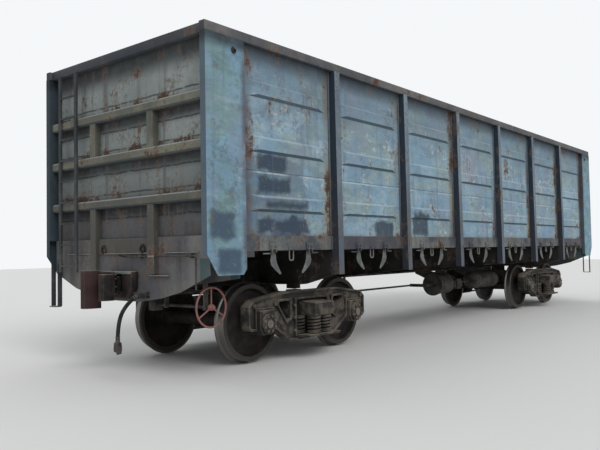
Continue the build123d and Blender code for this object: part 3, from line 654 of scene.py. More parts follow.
@dataclass(frozen=True)
class WheelSteel:
    """Forged wheels: rusty web, greyish rim face and a polished tread and flange."""

    web: str = "1f1c1b"
    rim: str = "413e3b"
    tread: str = "706e6b"

    # radii from the axle, between which the rim's and the tread's tones come in
    RIM: ClassVar[Span] = (0.41, 0.425)
    TREAD: ClassVar[Span] = (0.4695, 0.4745)

    def material(self, name: str) -> bpy.types.Material:
        """Builds the material.

        Args:
            name: the material's name.

        Returns:
            The finished material.
        """
        shader = Shader(bpy.data.materials.new(name))
        along = abs(abs(shader.axis("X")) - BOGIE_X) - AXLE_OFFSET
        above = shader.axis("Z") - AXLE_Z
        radius = (along * along + above * above).math("SQRT")
        cloudy = shader.noise(7.0, 5.0, 0.6)
        fine = shader.noise(60.0, 4.0, 0.6)
        wobble = (cloudy - 0.5) * 0.02
        coat = Coat(shader, shader.mix(cloudy.ramp(0.38, 0.62), self.web, Tone.WHEEL_DUST))
        coat.lay((cloudy * 0.5 + fine * 0.5).ramp(0.54, 0.64) * 0.5, Tone.WHEEL_RUST)
        rim = (radius + wobble).ramp(*self.RIM)
        coat.lay(rim * 0.75, self.rim)
        tread = (radius + wobble * 0.3).ramp(*self.TREAD)
        coat.lay(tread * 0.9, self.tread)
        relief = fine * 0.6 + cloudy * 0.4
        return shader.finish(coat.colour, 0.75 - tread * 0.35 - rim * 0.08, tread * 0.8, relief, 0.0016)


@dataclass(frozen=True)
class OldRubber:
    """Dusty rubber of the brake hoses."""

    rubber: str = "191919"
    dust: str = "403c38"

    def material(self, name: str) -> bpy.types.Material:
        """Builds the material.

        Args:
            name: the material's name.

        Returns:
            The finished material.
        """
        shader = Shader(bpy.data.materials.new(name))
        cloudy = shader.noise(9.0, 5.0, 0.6)
        fine = shader.noise(90.0, 3.0)
        colour = shader.mix(cloudy.ramp(0.4, 0.66) * 0.7, self.rubber, self.dust)
        return shader.finish(colour, 0.8, 0.0, fine, 0.001)


SIDE_PATCHES = (
    Patch(-5.42, 1.98, 1.0, 0.98, 0.08, 0.4),
    Patch(-5.5, 2.4, 0.5, 0.2),
    Patch(-5.47, 2.14, 0.56, 0.2),
    Patch(-5.26, 1.92, 0.76, 0.09, 0.02),
    Patch(-5.3, 1.66, 0.94, 0.19, 0.05),
    Patch(-3.12, 1.63, 0.46, 0.28, 0.04),
    Patch(-2.06, 1.76, 0.5, 0.36, 0.04),
)
SILL_PATCHES = (Patch(-3.46, 1.45, 1.6, 0.3, 0.04), Patch(5.19, 1.45, 1.6, 0.3, 0.04))
CORNER_PATCHES = (Patch(-6.38, 1.66, 0.38, 0.3), Patch(-6.27, 1.28, 0.37, 0.27, 0.015))
TOP_RAIL_SHADE = 3.665

FINISHES: dict[str, OldPaint | Casting | WheelSteel | OldRubber] = {
    "side_paint": OldPaint(
        "7b98ab", "96aebc", "586b7c", rust=0.16, runs=0.5, hollow_shade_and_dirt=0.6, scuffs=0.5, dents=0.35, under=0.75,
        bloom="8b9b95", post_rust=True, bare_inside="Y", bare_limit=SHEET_FACE, shaded=((TOP_RAIL_SHADE, 0.27),),
        patches=SIDE_PATCHES, patch_tone="323e4d"),
    "post_paint": OldPaint("616d79", "78858f", "28323d", turned=0.95, sink=0.5),
    "corner_paint": OldPaint(
        "708fa5", "7d9cad", "4a545e", rust=0.08, runs=0.3, scuffs=0.15, turned=0.85, bloom="708c86",
        inward="2c3439", far_side="293237", gutter=(6.03, 6.11), bare_steel=6.0215,
        shaded=((TOP_RAIL_SHADE, 0.2),), patches=CORNER_PATCHES),
    "rail_steel": OldPaint(
        "4d4e52", "6a6866", "2f343b", rust=0.36, runs=0.3, dents=0.5, turned=0.75, edges=0.8, under=0.4),
    "sill_paint": OldPaint(
        "464a50", "747875", "2f3137", rust=0.45, runs=0.6, dents=0.2, edges=0.4, trodden="3d342f",
        patches=SILL_PATCHES, patch_tone="46464e"),
    "end_paint": OldPaint(
        "7c8482", "8f9694", "505152", rust=0.36, runs=0.7, hollow_shade_and_dirt=0.8, dents=0.4, sink=0.9, bare_inside="X",
        bare_limit=6.4695, shaded=((TOP_RAIL_SHADE, 0.34), (2.965, 0.2), (2.445, 0.2), (1.910, 0.2)),
        beads=(3.065, 2.545, 2.005), wet_lines=(3.145, 2.83, 2.6, 2.32, 2.07, 1.78)),
    "belt_paint": OldPaint(
        "5c5d54", "767668", "403b39", rust=0.4, hollow_shade_and_dirt=0.6, dents=0.2, under=0.6, edges=0.5, sink=0.6),
    "beam_paint": OldPaint(
        "59595c", "6d6b69", "39383c", rust=0.36, runs=0.5, hollow_shade_and_dirt=0.6, dents=0.3, far_side="2c2e34",
        trodden="352c28", tips=True),
    "ladder_steel": OldPaint("2f3334", "43474a", "1e2122", under=1.4),
    "frame_steel": OldPaint("252423", "353230", "151413", rust=0.42, runs=0.3, roughness=0.75),
    "coupler_iron": Casting(
        "1c1919", "322b2a", "857d77", rust=0.25, dusty=0.9, worn=0.8, lying="7c7b79", flushed="3f2827"),
    "brake_steel": Casting("27282a", "45423e", "66625c", rust=0.25),
    "handbrake_paint": OldPaint("6f4a47", "875f5b", "4d3431", rust=0.45, hollow_shade_and_dirt=0.3),
    "lock_paint": Casting("585c5c", "7d8181", "9a9d96", rust=0.5, roughness=0.65, dark_above=up(1.3)),
    "hose_rubber": OldRubber(),
    "wheel_steel": WheelSteel(),
    "hatch_steel": OldPaint("302b28", "3b3430", "231f1c", rust=0.42, roughness=0.75),
    "spring_steel": Casting("2a2826", "57514b", "7c756c"),
    "bogie_iron": Casting("2c2a28", "59534c", "8b8478", rust=0.2, dusty=0.9, worn=0.7, lying="7b7468"),
}


class PaintShop:
    """Makes each finish's material once."""

    made: ClassVar[dict[str, bpy.types.Material]] = {}

    @classmethod
    def material(cls, slot: str) -> bpy.types.Material:
        """Material of a slot of the record.

        Args:
            slot: the slot's name.

        Returns:
            Its material, made at the first call.
        """
        if slot not in cls.made:
            cls.made[slot] = FINISHES[slot].material(slot)
        return cls.made[slot]

    @classmethod
    def dress_frame(cls) -> None:
        """Gives every CAD node the material of its slot."""
        for part in frame["record"]["subparts"]:
            mesh = frame["nodes"][part["node"]].data
            mesh.materials.clear()
            mesh.materials.append(cls.material(part["material_slot"]))


class Shape:
    """A bmesh in the making, with the operators that the wagon's pieces come from."""

    MERGE: ClassVar[float] = 1e-5
    FLAT: ClassVar[float] = math.radians(2)
    BEVELLED: ClassVar[float] = math.radians(28)
    SHARP: ClassVar[float] = math.radians(32)

    def __init__(self) -> None:
        """Starts empty."""
        self.bm = bmesh.new()

    def _bevel(self, edges: Sequence[bmesh.types.BMEdge], width: float) -> None:
        """Rounds edges with two faces each."""
        bmesh.ops.bevel(self.bm, geom=edges, offset=width, offset_type="OFFSET", segments=2, profile=0.5,
                        affect="EDGES", material=-1, clamp_overlap=True)

    def ease(self, verts: Sequence[bmesh.types.BMVert], width: float) -> None:
        """Rounds all edges of a solid, unless the width is 0."""
        if width:
            self._bevel(list({edge for vert in verts for edge in vert.link_edges}), width)

    def box(self, low: Point, high: Point, ease: float = 0.0) -> "Shape":
        """Block between two corners.

        Args:
            low: one corner.
            high: the opposite corner.
            ease: rounding of its edges.

        Returns:
            This shape.
        """
        low, high = Vector(low), Vector(high)
        size = [abs(part) for part in high - low]
        place = Matrix.Translation((low + high) / 2) @ Matrix.Diagonal((*size, 1.0))
        made = bmesh.ops.create_cube(self.bm, size=1.0, matrix=place)
        self.ease(made["verts"], ease)
        return self

    def prism(self, outline: Sequence[Point], depth: Point, ease: float = 0.0) -> "Shape":
        """Flat outline drawn out along a vector.

        Args:
            outline: corners in order.
            depth: the vector.
            ease: rounding of its edges.

        Returns:
            This shape.
        """
        verts = [self.bm.verts.new(point) for point in outline]
        made = bmesh.ops.extrude_face_region(self.bm, geom=[self.bm.faces.new(verts)])
        far = [part for part in made["geom"] if isinstance(part, bmesh.types.BMVert)]
        bmesh.ops.translate(self.bm, verts=far, vec=Vector(depth))
        self.ease(verts + far, ease)
        return self

    def rod(self, start: Point, end: Point, radius: float, sides: int) -> "Shape":
        """Straight round bar cut square.

        Args:
            start: middle of one end.
            end: middle of the other end.
            radius: its radius.
            sides: faces round it, 6 for a bolt's head.

        Returns:
            This shape.
        """
        start, end = Vector(start), Vector(end)
        turn = (end - start).to_track_quat("Z", "Y").to_matrix().to_4x4()
        bmesh.ops.create_cone(self.bm, cap_ends=True, segments=sides, radius1=radius, radius2=radius,
                              depth=(end - start).length, matrix=Matrix.Translation((start + end) / 2) @ turn)
        return self

    def stud(self, x: float, z: float, span: Span, radius: float, sides: int = 6) -> "Shape":
        """Bar or bolt that lies across the wagon.

        Args:
            x: its place along the wagon.
            z: its height.
            span: Y of both its ends.
            radius: its radius.
            sides: faces round it.

        Returns:
            This shape.
        """
        return self.rod((x, span[0], z), (x, span[1], z), radius, sides)

    def lathe(self, profile: Sequence[Span], centre: Point, axis: Point, steps: int) -> "Shape":
        """Closed outline turned about an axis.

        Args:
            profile: distance along the axis and radius of each corner.
            centre: point on the axis where the distance is 0.
            axis: direction of the axis.
            steps: faces round it.

        Returns:
            This shape.
        """
        centre, axis = Vector(centre), Vector(axis).normalized()
        out = axis.orthogonal().normalized()
        verts = [self.bm.verts.new(centre + axis * along + out * radius) for along, radius in profile]
        edges = [self.bm.edges.new(pair) for pair in zip(verts, verts[1:] + verts[:1])]
        before = set(self.bm.verts) - set(verts)
        bmesh.ops.spin(self.bm, geom=verts + edges, cent=centre, axis=axis, dvec=(0, 0, 0), angle=2 * math.pi,
                       steps=steps, use_merge=True, use_normal_flip=False, use_duplicate=False)
        made = [vert for vert in self.bm.verts if vert not in before]
        bmesh.ops.remove_doubles(self.bm, verts=made, dist=self.MERGE)
        return self

    def ring(self, centre: Point, axis: Point, radius: float, bar: float, steps: int, sides: int = 8,
             sweep: float = 360.0, rise: float = 0.0) -> "Shape":
        """Round bar bent to a ring, an arc or a coil.

        Args:
            centre: middle of the ring, at the coil's start.
            axis: its axis.
            radius: radius of the bar's centre line.
            bar: radius of the bar.
            steps: faces along it.
            sides: faces round the bar.
            sweep: degrees it turns through.
            rise: metres it climbs along the axis.

        Returns:
            This shape.
        """
        centre, axis = Vector(centre), Vector(axis).normalized()
        out = axis.orthogonal().normalized()
        turn = axis.cross(out).to_track_quat("Z", "Y").to_matrix().to_4x4()
        full = sweep == 360.0 and not rise
        made = bmesh.ops.create_circle(self.bm, cap_ends=not full, segments=sides, radius=bar,
                                       matrix=Matrix.Translation(centre + out * radius) @ turn)
        loop = made["verts"] + list({edge for vert in made["verts"] for edge in vert.link_edges})
        spun = bmesh.ops.spin(self.bm, geom=loop, cent=centre, axis=axis, dvec=axis * (rise / steps),
                              angle=math.radians(sweep), steps=steps, use_merge=full, use_normal_flip=False,
                              use_duplicate=False)
        if not full:
            last = [part for part in spun["geom_last"] if isinstance(part, bmesh.types.BMEdge)]
            bmesh.ops.contextual_create(self.bm, geom=last)
        return self

    def copy_node(self, node: str, ease: float) -> "Shape":
        """A CAD node's own shape with its edges eased.

        Args:
            node: the node's name.
            ease: width of the rounding.

        Returns:
            This shape.
        """
        self.bm.from_mesh(frame["nodes"][node].data)
        bmesh.ops.remove_doubles(self.bm, verts=self.bm.verts, dist=self.MERGE)
        bmesh.ops.dissolve_limit(self.bm, angle_limit=self.FLAT, use_dissolve_boundaries=False,
                                 verts=self.bm.verts, edges=self.bm.edges)
        self._bevel([edge for edge in self.bm.edges
                     if edge.is_manifold and edge.calc_face_angle_signed(0.0) > self.BEVELLED], ease)
        return self

    def repeat(self, part: "Shape", places: Sequence[Point]) -> "Shape":
        """Adds copies of another shape, which is used up.

        Args:
            part: the shape, made at the origin.
            places: where each copy goes.

        Returns:
            This shape.
        """
        mesh = bpy.data.meshes.new("copy")
        part.bm.to_mesh(mesh)
        part.bm.free()
        last = Vector((0.0, 0.0, 0.0))
        for place in places:
            mesh.transform(Matrix.Translation(Vector(place) - last))
            last = Vector(place)
            self.bm.from_mesh(mesh)
        bpy.data.meshes.remove(mesh)
        return self

    def mesh(self, name: str) -> bpy.types.Mesh:
        """Closes the shape into a mesh with smooth faces and sharp edges.

        Args:
            name: the mesh's name.

        Returns:
            The mesh.
        """
        bmesh.ops.recalc_face_normals(self.bm, faces=self.bm.faces)
        mesh = bpy.data.meshes.new(name)
        self.bm.to_mesh(mesh)
        self.bm.free()
        mesh.shade_smooth()
        mesh.set_sharp_from_angle(angle=self.SHARP)
        return mesh


@dataclass
class Assembly:
    """Pieces of one sub-assembly, which ride on CAD bodies."""

    pieces: list[bpy.types.Object] = field(default_factory=list, init=False)

    def keep(self, shape: Shape, name: str, slot: Slot, replaced: Sequence[str] = (),
             body: str = "wagon_body") -> None:
        """Turns a shape into a piece of the wagon.

        Args:
            shape: the finished shape.
            name: the piece's name.
            slot: its material slot.
            replaced: CAD nodes that it stands for.
            body: the CAD body that it rides on.
        """
        mesh = shape.mesh(name)
        mesh.materials.append(PaintShop.material(slot.value))
        piece = bpy.data.objects.new(name, mesh)
        bpy.context.scene.collection.objects.link(piece)
        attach(piece, body)
        if replaced:
            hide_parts(*replaced)
        self.pieces.append(piece)
        LOG.info("%s: %d faces on %s", name, len(mesh.polygons), body)

    def soften(self, node: str, slot: Slot, ease: float, body: str = "wagon_body") -> None:
        """Stands an eased copy in place of a CAD node."""
        self.keep(Shape().copy_node(node, ease), f"{node}_eased", slot, [node], body)

    def build(self) -> None:
        """Makes the pieces."""
        raise NotImplementedError


@dataclass
class Wheelset(Assembly):
    """Two dished wheels on an axle."""

    name: str
    axle_x: float
    wheel_steps: int = 72
    axle_steps: int = 32

    # columns: distance from the wagon's middle, radius
    WHEEL: ClassVar[tuple[Span, ...]] = (
        (0.715, 0.0965), (0.715, 0.119), (0.724, 0.128), (0.786, 0.134), (0.803, 0.150), (0.800, 0.215),
        (0.776, 0.320), (0.758, 0.385), (0.742, 0.408), (0.720, 0.4165), (0.720, 0.4985), (0.7235, 0.5045),
        (0.731, 0.5065), (0.7385, 0.5048), (0.745, 0.4985), (0.7505, 0.489), (0.757, 0.4822), (0.767, 0.4797),
        (0.790, 0.4785), (0.820, 0.477), (0.843, 0.4755), (0.850, 0.4695), (0.850, 0.4185), (0.845, 0.4135),
        (0.818, 0.406), (0.797, 0.391), (0.793, 0.372), (0.805, 0.310), (0.829, 0.215), (0.837, 0.152),
        (0.850, 0.137), (0.892, 0.1325), (0.902, 0.126), (0.902, 0.0965),
    )
    AXLE: ClassVar[tuple[Span, ...]] = (
        (0.0, 0.0825), (0.60, 0.0825), (0.67, 0.0965), (0.906, 0.0965), (0.912, 0.0825), (0.935, 0.0825),
        (0.948, 0.065), (1.143, 0.065), (1.147, 0.061), (1.147, 0.0),
    )

    def build(self) -> None:
        """Makes the wheels and the axle as one piece."""
        shape = Shape()
        centre = (self.axle_x, 0.0, AXLE_Z)
        for _, side in SIDES:
            shape.lathe(self.WHEEL, centre, (0, side, 0), self.wheel_steps)
        axle = list(self.AXLE) + [(-along, radius) for along, radius in self.AXLE[:0:-1]]
        shape.lathe(axle, centre, ACROSS, self.axle_steps)
        self.keep(shape, f"{self.name}_turned", Slot.WHEEL, [self.name], self.name)


@dataclass
class Bogie(Assembly):
    """Three-piece bogie: eased castings, coil springs and the bolts that show."""

    end: str
    sign: int
    frame_y: float = 1.018
    spring_foot: float = up(0.285)
    spring_top: float = up(0.520)
    nest_pitch: float = 0.215
    nest_row: float = 0.170
    cap_y: Span = (1.167, 1.176)
    cap_radius: float = 0.050
    bolt_y: Span = (1.167, 1.181)
    bolt_radius: float = 0.015
    bolt_circle: float = 0.094
    boss_x: float = 0.190
    boss_y: Span = (1.060, 1.098)
    boss_z: float = up(0.70)
    boss_radius: float = 0.022
    rivet_x: float = 0.37
    rivet_y: Span = (1.085, 1.104)
    rivet_levels: tuple[float, ...] = (up(0.34), up(0.50), up(0.66))
    rivet_radius: float = 0.018

    # columns: radius of the coil, radius of its bar, turns
    COILS: ClassVar = ((0.084, 0.015, 5), (0.050, 0.0095, 7))
    # columns: rows outwards from the side frame, pitches along it
    NESTS: ClassVar = ((-1, -0.5), (-1, 0.5), (0, -1), (0, 0), (0, 1), (1, -0.5), (1, 0.5))

    @property
    def centre(self) -> float:
        """X of the bogie's middle."""
        return self.sign * BOGIE_X

    def build(self) -> None:
        """Makes the springs, the castings and their bolts."""
        body = f"bogie_{self.end}"
        for casting, ease in (("side_frames", 0.008), ("bogie_bolster", 0.012), ("axle_boxes", 0.006)):
            self.soften(f"{casting}_{self.end}", Slot.BOGIE, ease, body)
        springs = f"springs_{self.end}"
        self.keep(self._springs(), f"{springs}_coils", Slot.SPRING, [springs], body)
        self.keep(self._bolts(), f"{body}_bolts", Slot.BOGIE, body=body)

    def _springs(self) -> Shape:
        """Seven nests of two coils each on either side frame.

        Returns:
            The bogie's springs.
        """
        nest = Shape()
        height = self.spring_top - self.spring_foot
        for radius, bar, turns in self.COILS:
            nest.ring((0, 0, bar), UPRIGHT, radius, bar, turns * 16, 8, 360.0 * turns, height - 2 * bar)
            for level in (bar, height - bar):
                nest.ring((0, 0, level), UPRIGHT, radius, bar, 16)
        places = [(self.centre + pitch * self.nest_pitch, side * (self.frame_y + row * self.nest_row),
                   self.spring_foot) for _, side in SIDES for row, pitch in self.NESTS]
        return Shape().repeat(nest, places)

    def _bolts(self) -> Shape:
        """End caps with their bolts and bosses on the axle boxes, and rivets on the side frames.

        Returns:
            The small pieces of both sides.
        """
        shape = Shape()
        for _, side in SIDES:
            cap, bolt, boss, rivet = ((side * inner, side * outer) for inner, outer in
                                      (self.cap_y, self.bolt_y, self.boss_y, self.rivet_y))
            for axle in (-1, 1):
                x = self.centre + axle * AXLE_OFFSET
                shape.stud(x, AXLE_Z, cap, self.cap_radius, 24)
                for corner in range(8):
                    turn = math.radians(45 * corner + 22.5)
                    shape.stud(x + self.bolt_circle * math.cos(turn), AXLE_Z + self.bolt_circle * math.sin(turn),
                               bolt, self.bolt_radius)
                for reach in (self.boss_x, -self.boss_x):
                    shape.stud(x + reach, self.boss_z, boss, self.boss_radius)
            for reach in (-self.rivet_x, self.rivet_x):
                for level in self.rivet_levels:
                    shape.stud(self.centre + reach, level, rivet, self.rivet_radius)
        return shape


@dataclass
class HandWheel(Assembly):
    """Handbrake: hand wheel, shaft with its brackets, and gearbox."""

    centre: Point = (-6.300, -1.270, 0.788)
    radius: float = 0.213
    bar: float = 0.0108
    spoke: float = 0.0085
    shaft: float = 0.018
    shaft_end: float = -0.36
    brackets: Span = (-1.180, -0.520)
    bracket_plate: float = 0.012
    bushing_half: float = 0.02
    bushing_radius: float = 0.030
    gearbox_y: Span = (-0.380, -0.280)
    gearbox_half: float = 0.070
    hanger_half: float = 0.030
    floor: float = up(1.414)

    # columns: distance along the shaft, radius
    HUB: ClassVar[tuple[Span, ...]] = ((-0.026, 0.0), (-0.026, 0.026), (-0.018, 0.034), (0.018, 0.034),
                                       (0.03, 0.026), (0.03, 0.0))

    def build(self) -> None:
        """Makes the wheel and the gear behind it."""
        self.keep(self._wheel(), "hand_wheel", Slot.HANDBRAKE, ["handbrake"])
        self.keep(self._gear(), "handbrake_gear", Slot.BRAKE, ["handbrake"])

    def _wheel(self) -> Shape:
        """Rim, three spokes and the hub with its nut.

        Returns:
            The hand wheel.
        """
        x, y, z = self.centre
        shape = Shape()
        shape.ring(self.centre, ACROSS, self.radius, self.bar, 56, 10)
        for corner in (90, 210, 330):
            turn = math.radians(corner)
            tip = (x + self.radius * math.cos(turn), y, z + self.radius * math.sin(turn))
            shape.rod(self.centre, tip, self.spoke, 10)
        shape.lathe(self.HUB, self.centre, ACROSS, 24)
        return shape.stud(x, z, (y - 0.045, y - 0.026), 0.020)

    def _gear(self) -> Shape:
        """Shaft with its brackets, and the gearbox under the centre sill.

        Returns:
            The gear behind the wheel.
        """
        x, y, z = self.centre
        shape = Shape()
        shape.stud(x, z, (y, self.shaft_end), self.shaft, 16)
        for bracket in self.brackets:
            back = bracket - self.bracket_plate / 2
            outline = ((-0.03, z - 0.035), (0.03, z - 0.035), (0.045, self.floor), (-0.045, self.floor))
            shape.prism([(x + reach, back, level) for reach, level in outline], (0, self.bracket_plate, 0), 0.002)
            bushing = (bracket - self.bushing_half, bracket + self.bushing_half)
            shape.stud(x, z, bushing, self.bushing_radius, 20)
        start, end = self.gearbox_y
        half = self.gearbox_half
        shape.box((x - half, start, z - half), (x + half, end, z + half), 0.012)
        return shape.box((x - self.hanger_half, start, z + 0.060), (x + self.hanger_half, end, CENTRE_SILL_Z), 0.004)


@dataclass
class AirGear(Assembly):
    """Air tank with dished ends, and the flange bolts, ribs and straight pipes of the brake cylinder."""

    gear_y: float = -0.600
    gear_z: float = up(0.680)
    tank: Span = (1.420, 2.590)
    tank_radius: float = 0.160
    hangers: Span = (1.640, 2.370)
    hanger_plate: float = 0.012
    sill_y: float = -0.305
    seam_inset: float = 0.1
    flange_x: Span = (-0.137, -0.088)
    flange_circle: float = 0.190
    flange_bolts: int = 10
    flange_bolt_radius: float = 0.011
    rib_places: Span = (0.05, 0.33)
    rib: Span = (0.176, 0.184)
    pipe: float = 0.014
    steps: int = 40

    # columns: X of both ends of each straight pipe
    PIPES: ClassVar[tuple[Span, ...]] = ((0.400, 0.640), (0.980, 1.425))

    def build(self) -> None:
        """Makes the tank and the fittings of the cylinder."""
        self.keep(self._tank(), "air_tank", Slot.BRAKE, ["air_reservoir"])
        self.keep(self._fittings(), "brake_fittings", Slot.BRAKE)

    def _turned(self, shape: Shape, profile: Sequence[Span], x: float) -> None:
        """Adds an outline turned about the gear's axis, from a place along it."""
        shape.lathe(profile, (x, self.gear_y, self.gear_z), ALONG, self.steps)

    def _hanger(self, shape: Shape, x: float, reach: float) -> None:
        """Adds a plate from the centre sill's flange out over the gear.

        Args:
            shape: the shape that it joins.
            x: its middle along the wagon.
            reach: height of its tip over the gear's axis.
        """
        outline = ((-0.175, CENTRE_SILL_Z), (-0.175, CENTRE_SILL_Z - 0.042), (self.gear_y, self.gear_z + 0.020),
                   (self.gear_y, self.gear_z + reach), (self.sill_y, CENTRE_SILL_Z))
        shape.prism([(x - self.hanger_plate / 2, y, z) for y, z in outline], (self.hanger_plate, 0, 0))

    def _tank(self) -> Shape:
        """Welded tank with straps on its hangers.

        Returns:
            The tank with its hangers, straps and weld seams.
        """
        shape = Shape()
        start, end = self.tank
        r = self.tank_radius
        dish = ((0.0, 0.0), (0.004, 0.4 * r), (0.022, 0.72 * r), (0.052, 0.93 * r), (0.085, r))
        length = end - start
        self._turned(shape, list(dish) + [(length - along, radius) for along, radius in dish[::-1]], start)
        for x in self.hangers:
            self._hanger(shape, x, r + 0.020)
            self._turned(shape, ((-0.025, r), (-0.025, r + 0.005), (0.025, r + 0.005), (0.025, r)), x)
        weld = ((-0.006, r - 0.004), (-0.004, r + 0.003), (0.004, r + 0.003), (0.006, r - 0.004))
        for x in (start + self.seam_inset, end - self.seam_inset):
            self._turned(shape, weld, x)
        return shape

    def _fittings(self) -> Shape:
        """Flange bolts and stiffening ribs of the cylinder, and straight pipes.

        Returns:
            The cylinder's small pieces.
        """
        shape = Shape()
        for corner in range(self.flange_bolts):
            turn = 2 * math.pi * corner / self.flange_bolts
            y = self.gear_y + self.flange_circle * math.cos(turn)
            z = self.gear_z + self.flange_circle * math.sin(turn)
            shape.rod((self.flange_x[0], y, z), (self.flange_x[1], y, z), self.flange_bolt_radius, 6)
        inner, outer = self.rib
        for x in self.rib_places:
            self._turned(shape, ((-0.01, inner), (-0.01, outer), (0.01, outer), (0.01, inner)), x)
        for start, end in self.PIPES:
            shape.rod((start, self.gear_y, self.gear_z), (end, self.gear_y, self.gear_z), self.pipe, 12)
        return shape


@dataclass
class HatchLocks(Assembly):
    """Eased lock hooks, with the hinge lugs, pins and stops on the side sills."""

    hook_x: float = 0.335
    lug_z: Span = (up(1.366), up(1.452))
    lug_half: float = 0.060
    lug_out: float = 0.016
    sunk: float = 0.004
    ears: Span = (-0.042, 0.026)
    ear_plate: float = 0.016
    ear_out: float = 0.030
    pin_half: float = 0.058
    stop_half: float = 0.055
    stop_z: Span = (up(1.362), up(1.392))

    def build(self) -> None:
        """Makes the locks of both sides."""
        for side_name, side in SIDES:
            self.soften(f"hatch_locks_{side_name}", Slot.LOCK, 0.003)
            self.keep(self._lugs(side), f"lock_lugs_{side_name}", Slot.SILL)

    def _lugs(self, side: int) -> Shape:
        """Two hinge lugs above each bay's hooks, with their ears, pins and short arms, and a stop between.

        Args:
            side: -1 for the left side, 1 for the right.

        Returns:
            The lugs and stops of that side.
        """
        bay = Shape()
        face = side * SILL_FACE
        back = face - side * self.sunk
        low, high = self.lug_z
        for sign in (-1, 1):
            x = sign * self.hook_x
            bay.box((x - self.lug_half, back, low), (x + self.lug_half, face + side * self.lug_out, high), 0.006)
            for ear in self.ears:
                bay.box((x + ear, face, low - 0.030),
                        (x + ear + self.ear_plate, face + side * self.ear_out, high - 0.028), 0.004)
            pin_y, pin_z = face + side * 0.018, low + 0.012
            bay.rod((x - self.pin_half, pin_y, pin_z), (x + self.pin_half, pin_y, pin_z), 0.008, 10)
            bay.box((x + sign * 0.045, face - side * 0.010, low - 0.048),
                    (x + sign * 0.165, face + side * 0.006, low - 0.032), 0.003)
        low, high = self.stop_z
        bay.box((-self.stop_half, back, low), (self.stop_half, face + side * 0.014, high), 0.004)
        return Shape().repeat(bay, [(middle, 0, 0) for middle in BAY_MIDDLES])


@dataclass
class BodyTrim(Assembly):
    """Eased rails, sheet seams, rings, ledges and shelves on the end plates, and hooks on the corner posts."""

    seam_half: float = 0.778
    seam_lap: float = 0.007
    seam_height: float = 0.016
    ledge_z: Span = (up(1.350), up(1.360))
    ledge_out: float = 0.016
    shelf_y: Span = (0.52, 0.84)
    shelf_z: Span = (up(1.098), up(1.108))
    shelf_out: float = 0.048
    post_face: float = 1.542
    hook_x: float = 6.190
    hook_z: float = up(3.530)
    hook_radius: float = 0.026
    hook_bar: float = 0.008
    hole: float = 0.030
    ring_face: float = END_FACE + 0.015
    ring_y: float = 0.38
    ring_z: float = up(1.402)
    ring_radius: float = 0.040
    ring_bar: float = 0.009
    staple_half: float = 0.018

    # columns: where the ledge starts and ends across the wagon, the plate's face
    LEDGES: ClassVar = ((-1.31, -0.76, END_FACE), (-0.58, 0.37, END_FACE + 0.012), (0.56, 1.2, END_FACE))

    def build(self) -> None:
        """Makes the body's small pieces."""
        for rails in ("side_rails", "end_rails"):
            self.soften(rails, Slot.RAIL_STEEL, 0.003)
        self.keep(self._seams(), "sheet_seams", Slot.SIDE)
        self.keep(self._rings(), "end_rings", Slot.FRAME)
        self.keep(self._ledges(), "end_ledges", Slot.LOCK)
        self.keep(self._tie_hooks(), "tie_hooks", Slot.FRAME)

    def _seams(self) -> Shape:
        """Lap of the upper side sheets over the lower ones, bay by bay.

        Returns:
            The seams of both sides.
        """
        shape = Shape()
        low, high = up(SEAM), up(SEAM) + self.seam_height
        for _, side in SIDES:
            for middle in BAY_MIDDLES:
                shape.box((middle - self.seam_half, side * SHEET_FACE, low),
                          (middle + self.seam_half, side * (SHEET_FACE + self.seam_lap), high), 0.0025)
        return shape

    def _ledges(self) -> Shape:
        """Narrow ledge across each end plate, between the stiffeners, and a shelf at a stiffener's foot.

        Returns:
            The ledges and shelves of both ends.
        """
        shape = Shape()
        for _, sign in ENDS:
            foot, top = self.ledge_z
            for start, stop, face in self.LEDGES:
                shape.box((sign * face, -sign * start, foot), (sign * (face + self.ledge_out), -sign * stop, top),
                          0.002)
            (start, stop), (foot, top) = self.shelf_y, self.shelf_z
            shape.box((sign * END_FACE, sign * start, foot),
                      (sign * (END_FACE + self.shelf_out), sign * stop, top), 0.002)
        return shape

    def _tie_hooks(self) -> Shape:
        """Bent hook over a dark hole, near the top of each corner post.

        Returns:
            The four hooks with their holes.
        """
        shape = Shape()
        for _, side in SIDES:
            face = side * self.post_face
            for _, sign in ENDS:
                x = sign * self.hook_x
                shape.stud(x, self.hook_z, (face - side * 0.004, face + side * 0.0015), self.hole, 20)
                shape.ring((x, face + side * 0.012, self.hook_z - 0.012), ACROSS, self.hook_radius, self.hook_bar,
                           18, sweep=250.0)
        return shape

    def _rings(self) -> Shape:
        """Two rings with staples on each end plate.

        Returns:
            The rings of both ends.
        """
        shape = Shape()
        for _, sign in ENDS:
            face = sign * self.ring_face
            for y in (-self.ring_y, self.ring_y):
                shape.ring((face + sign * 0.012, y, self.ring_z), ALONG, self.ring_radius, self.ring_bar, 24)
                shape.box((face - sign * 0.004, y - self.staple_half, self.ring_z + 0.025),
                          (face + sign * 0.022, y + self.staple_half, self.ring_z + 0.055), 0.004)
        return shape


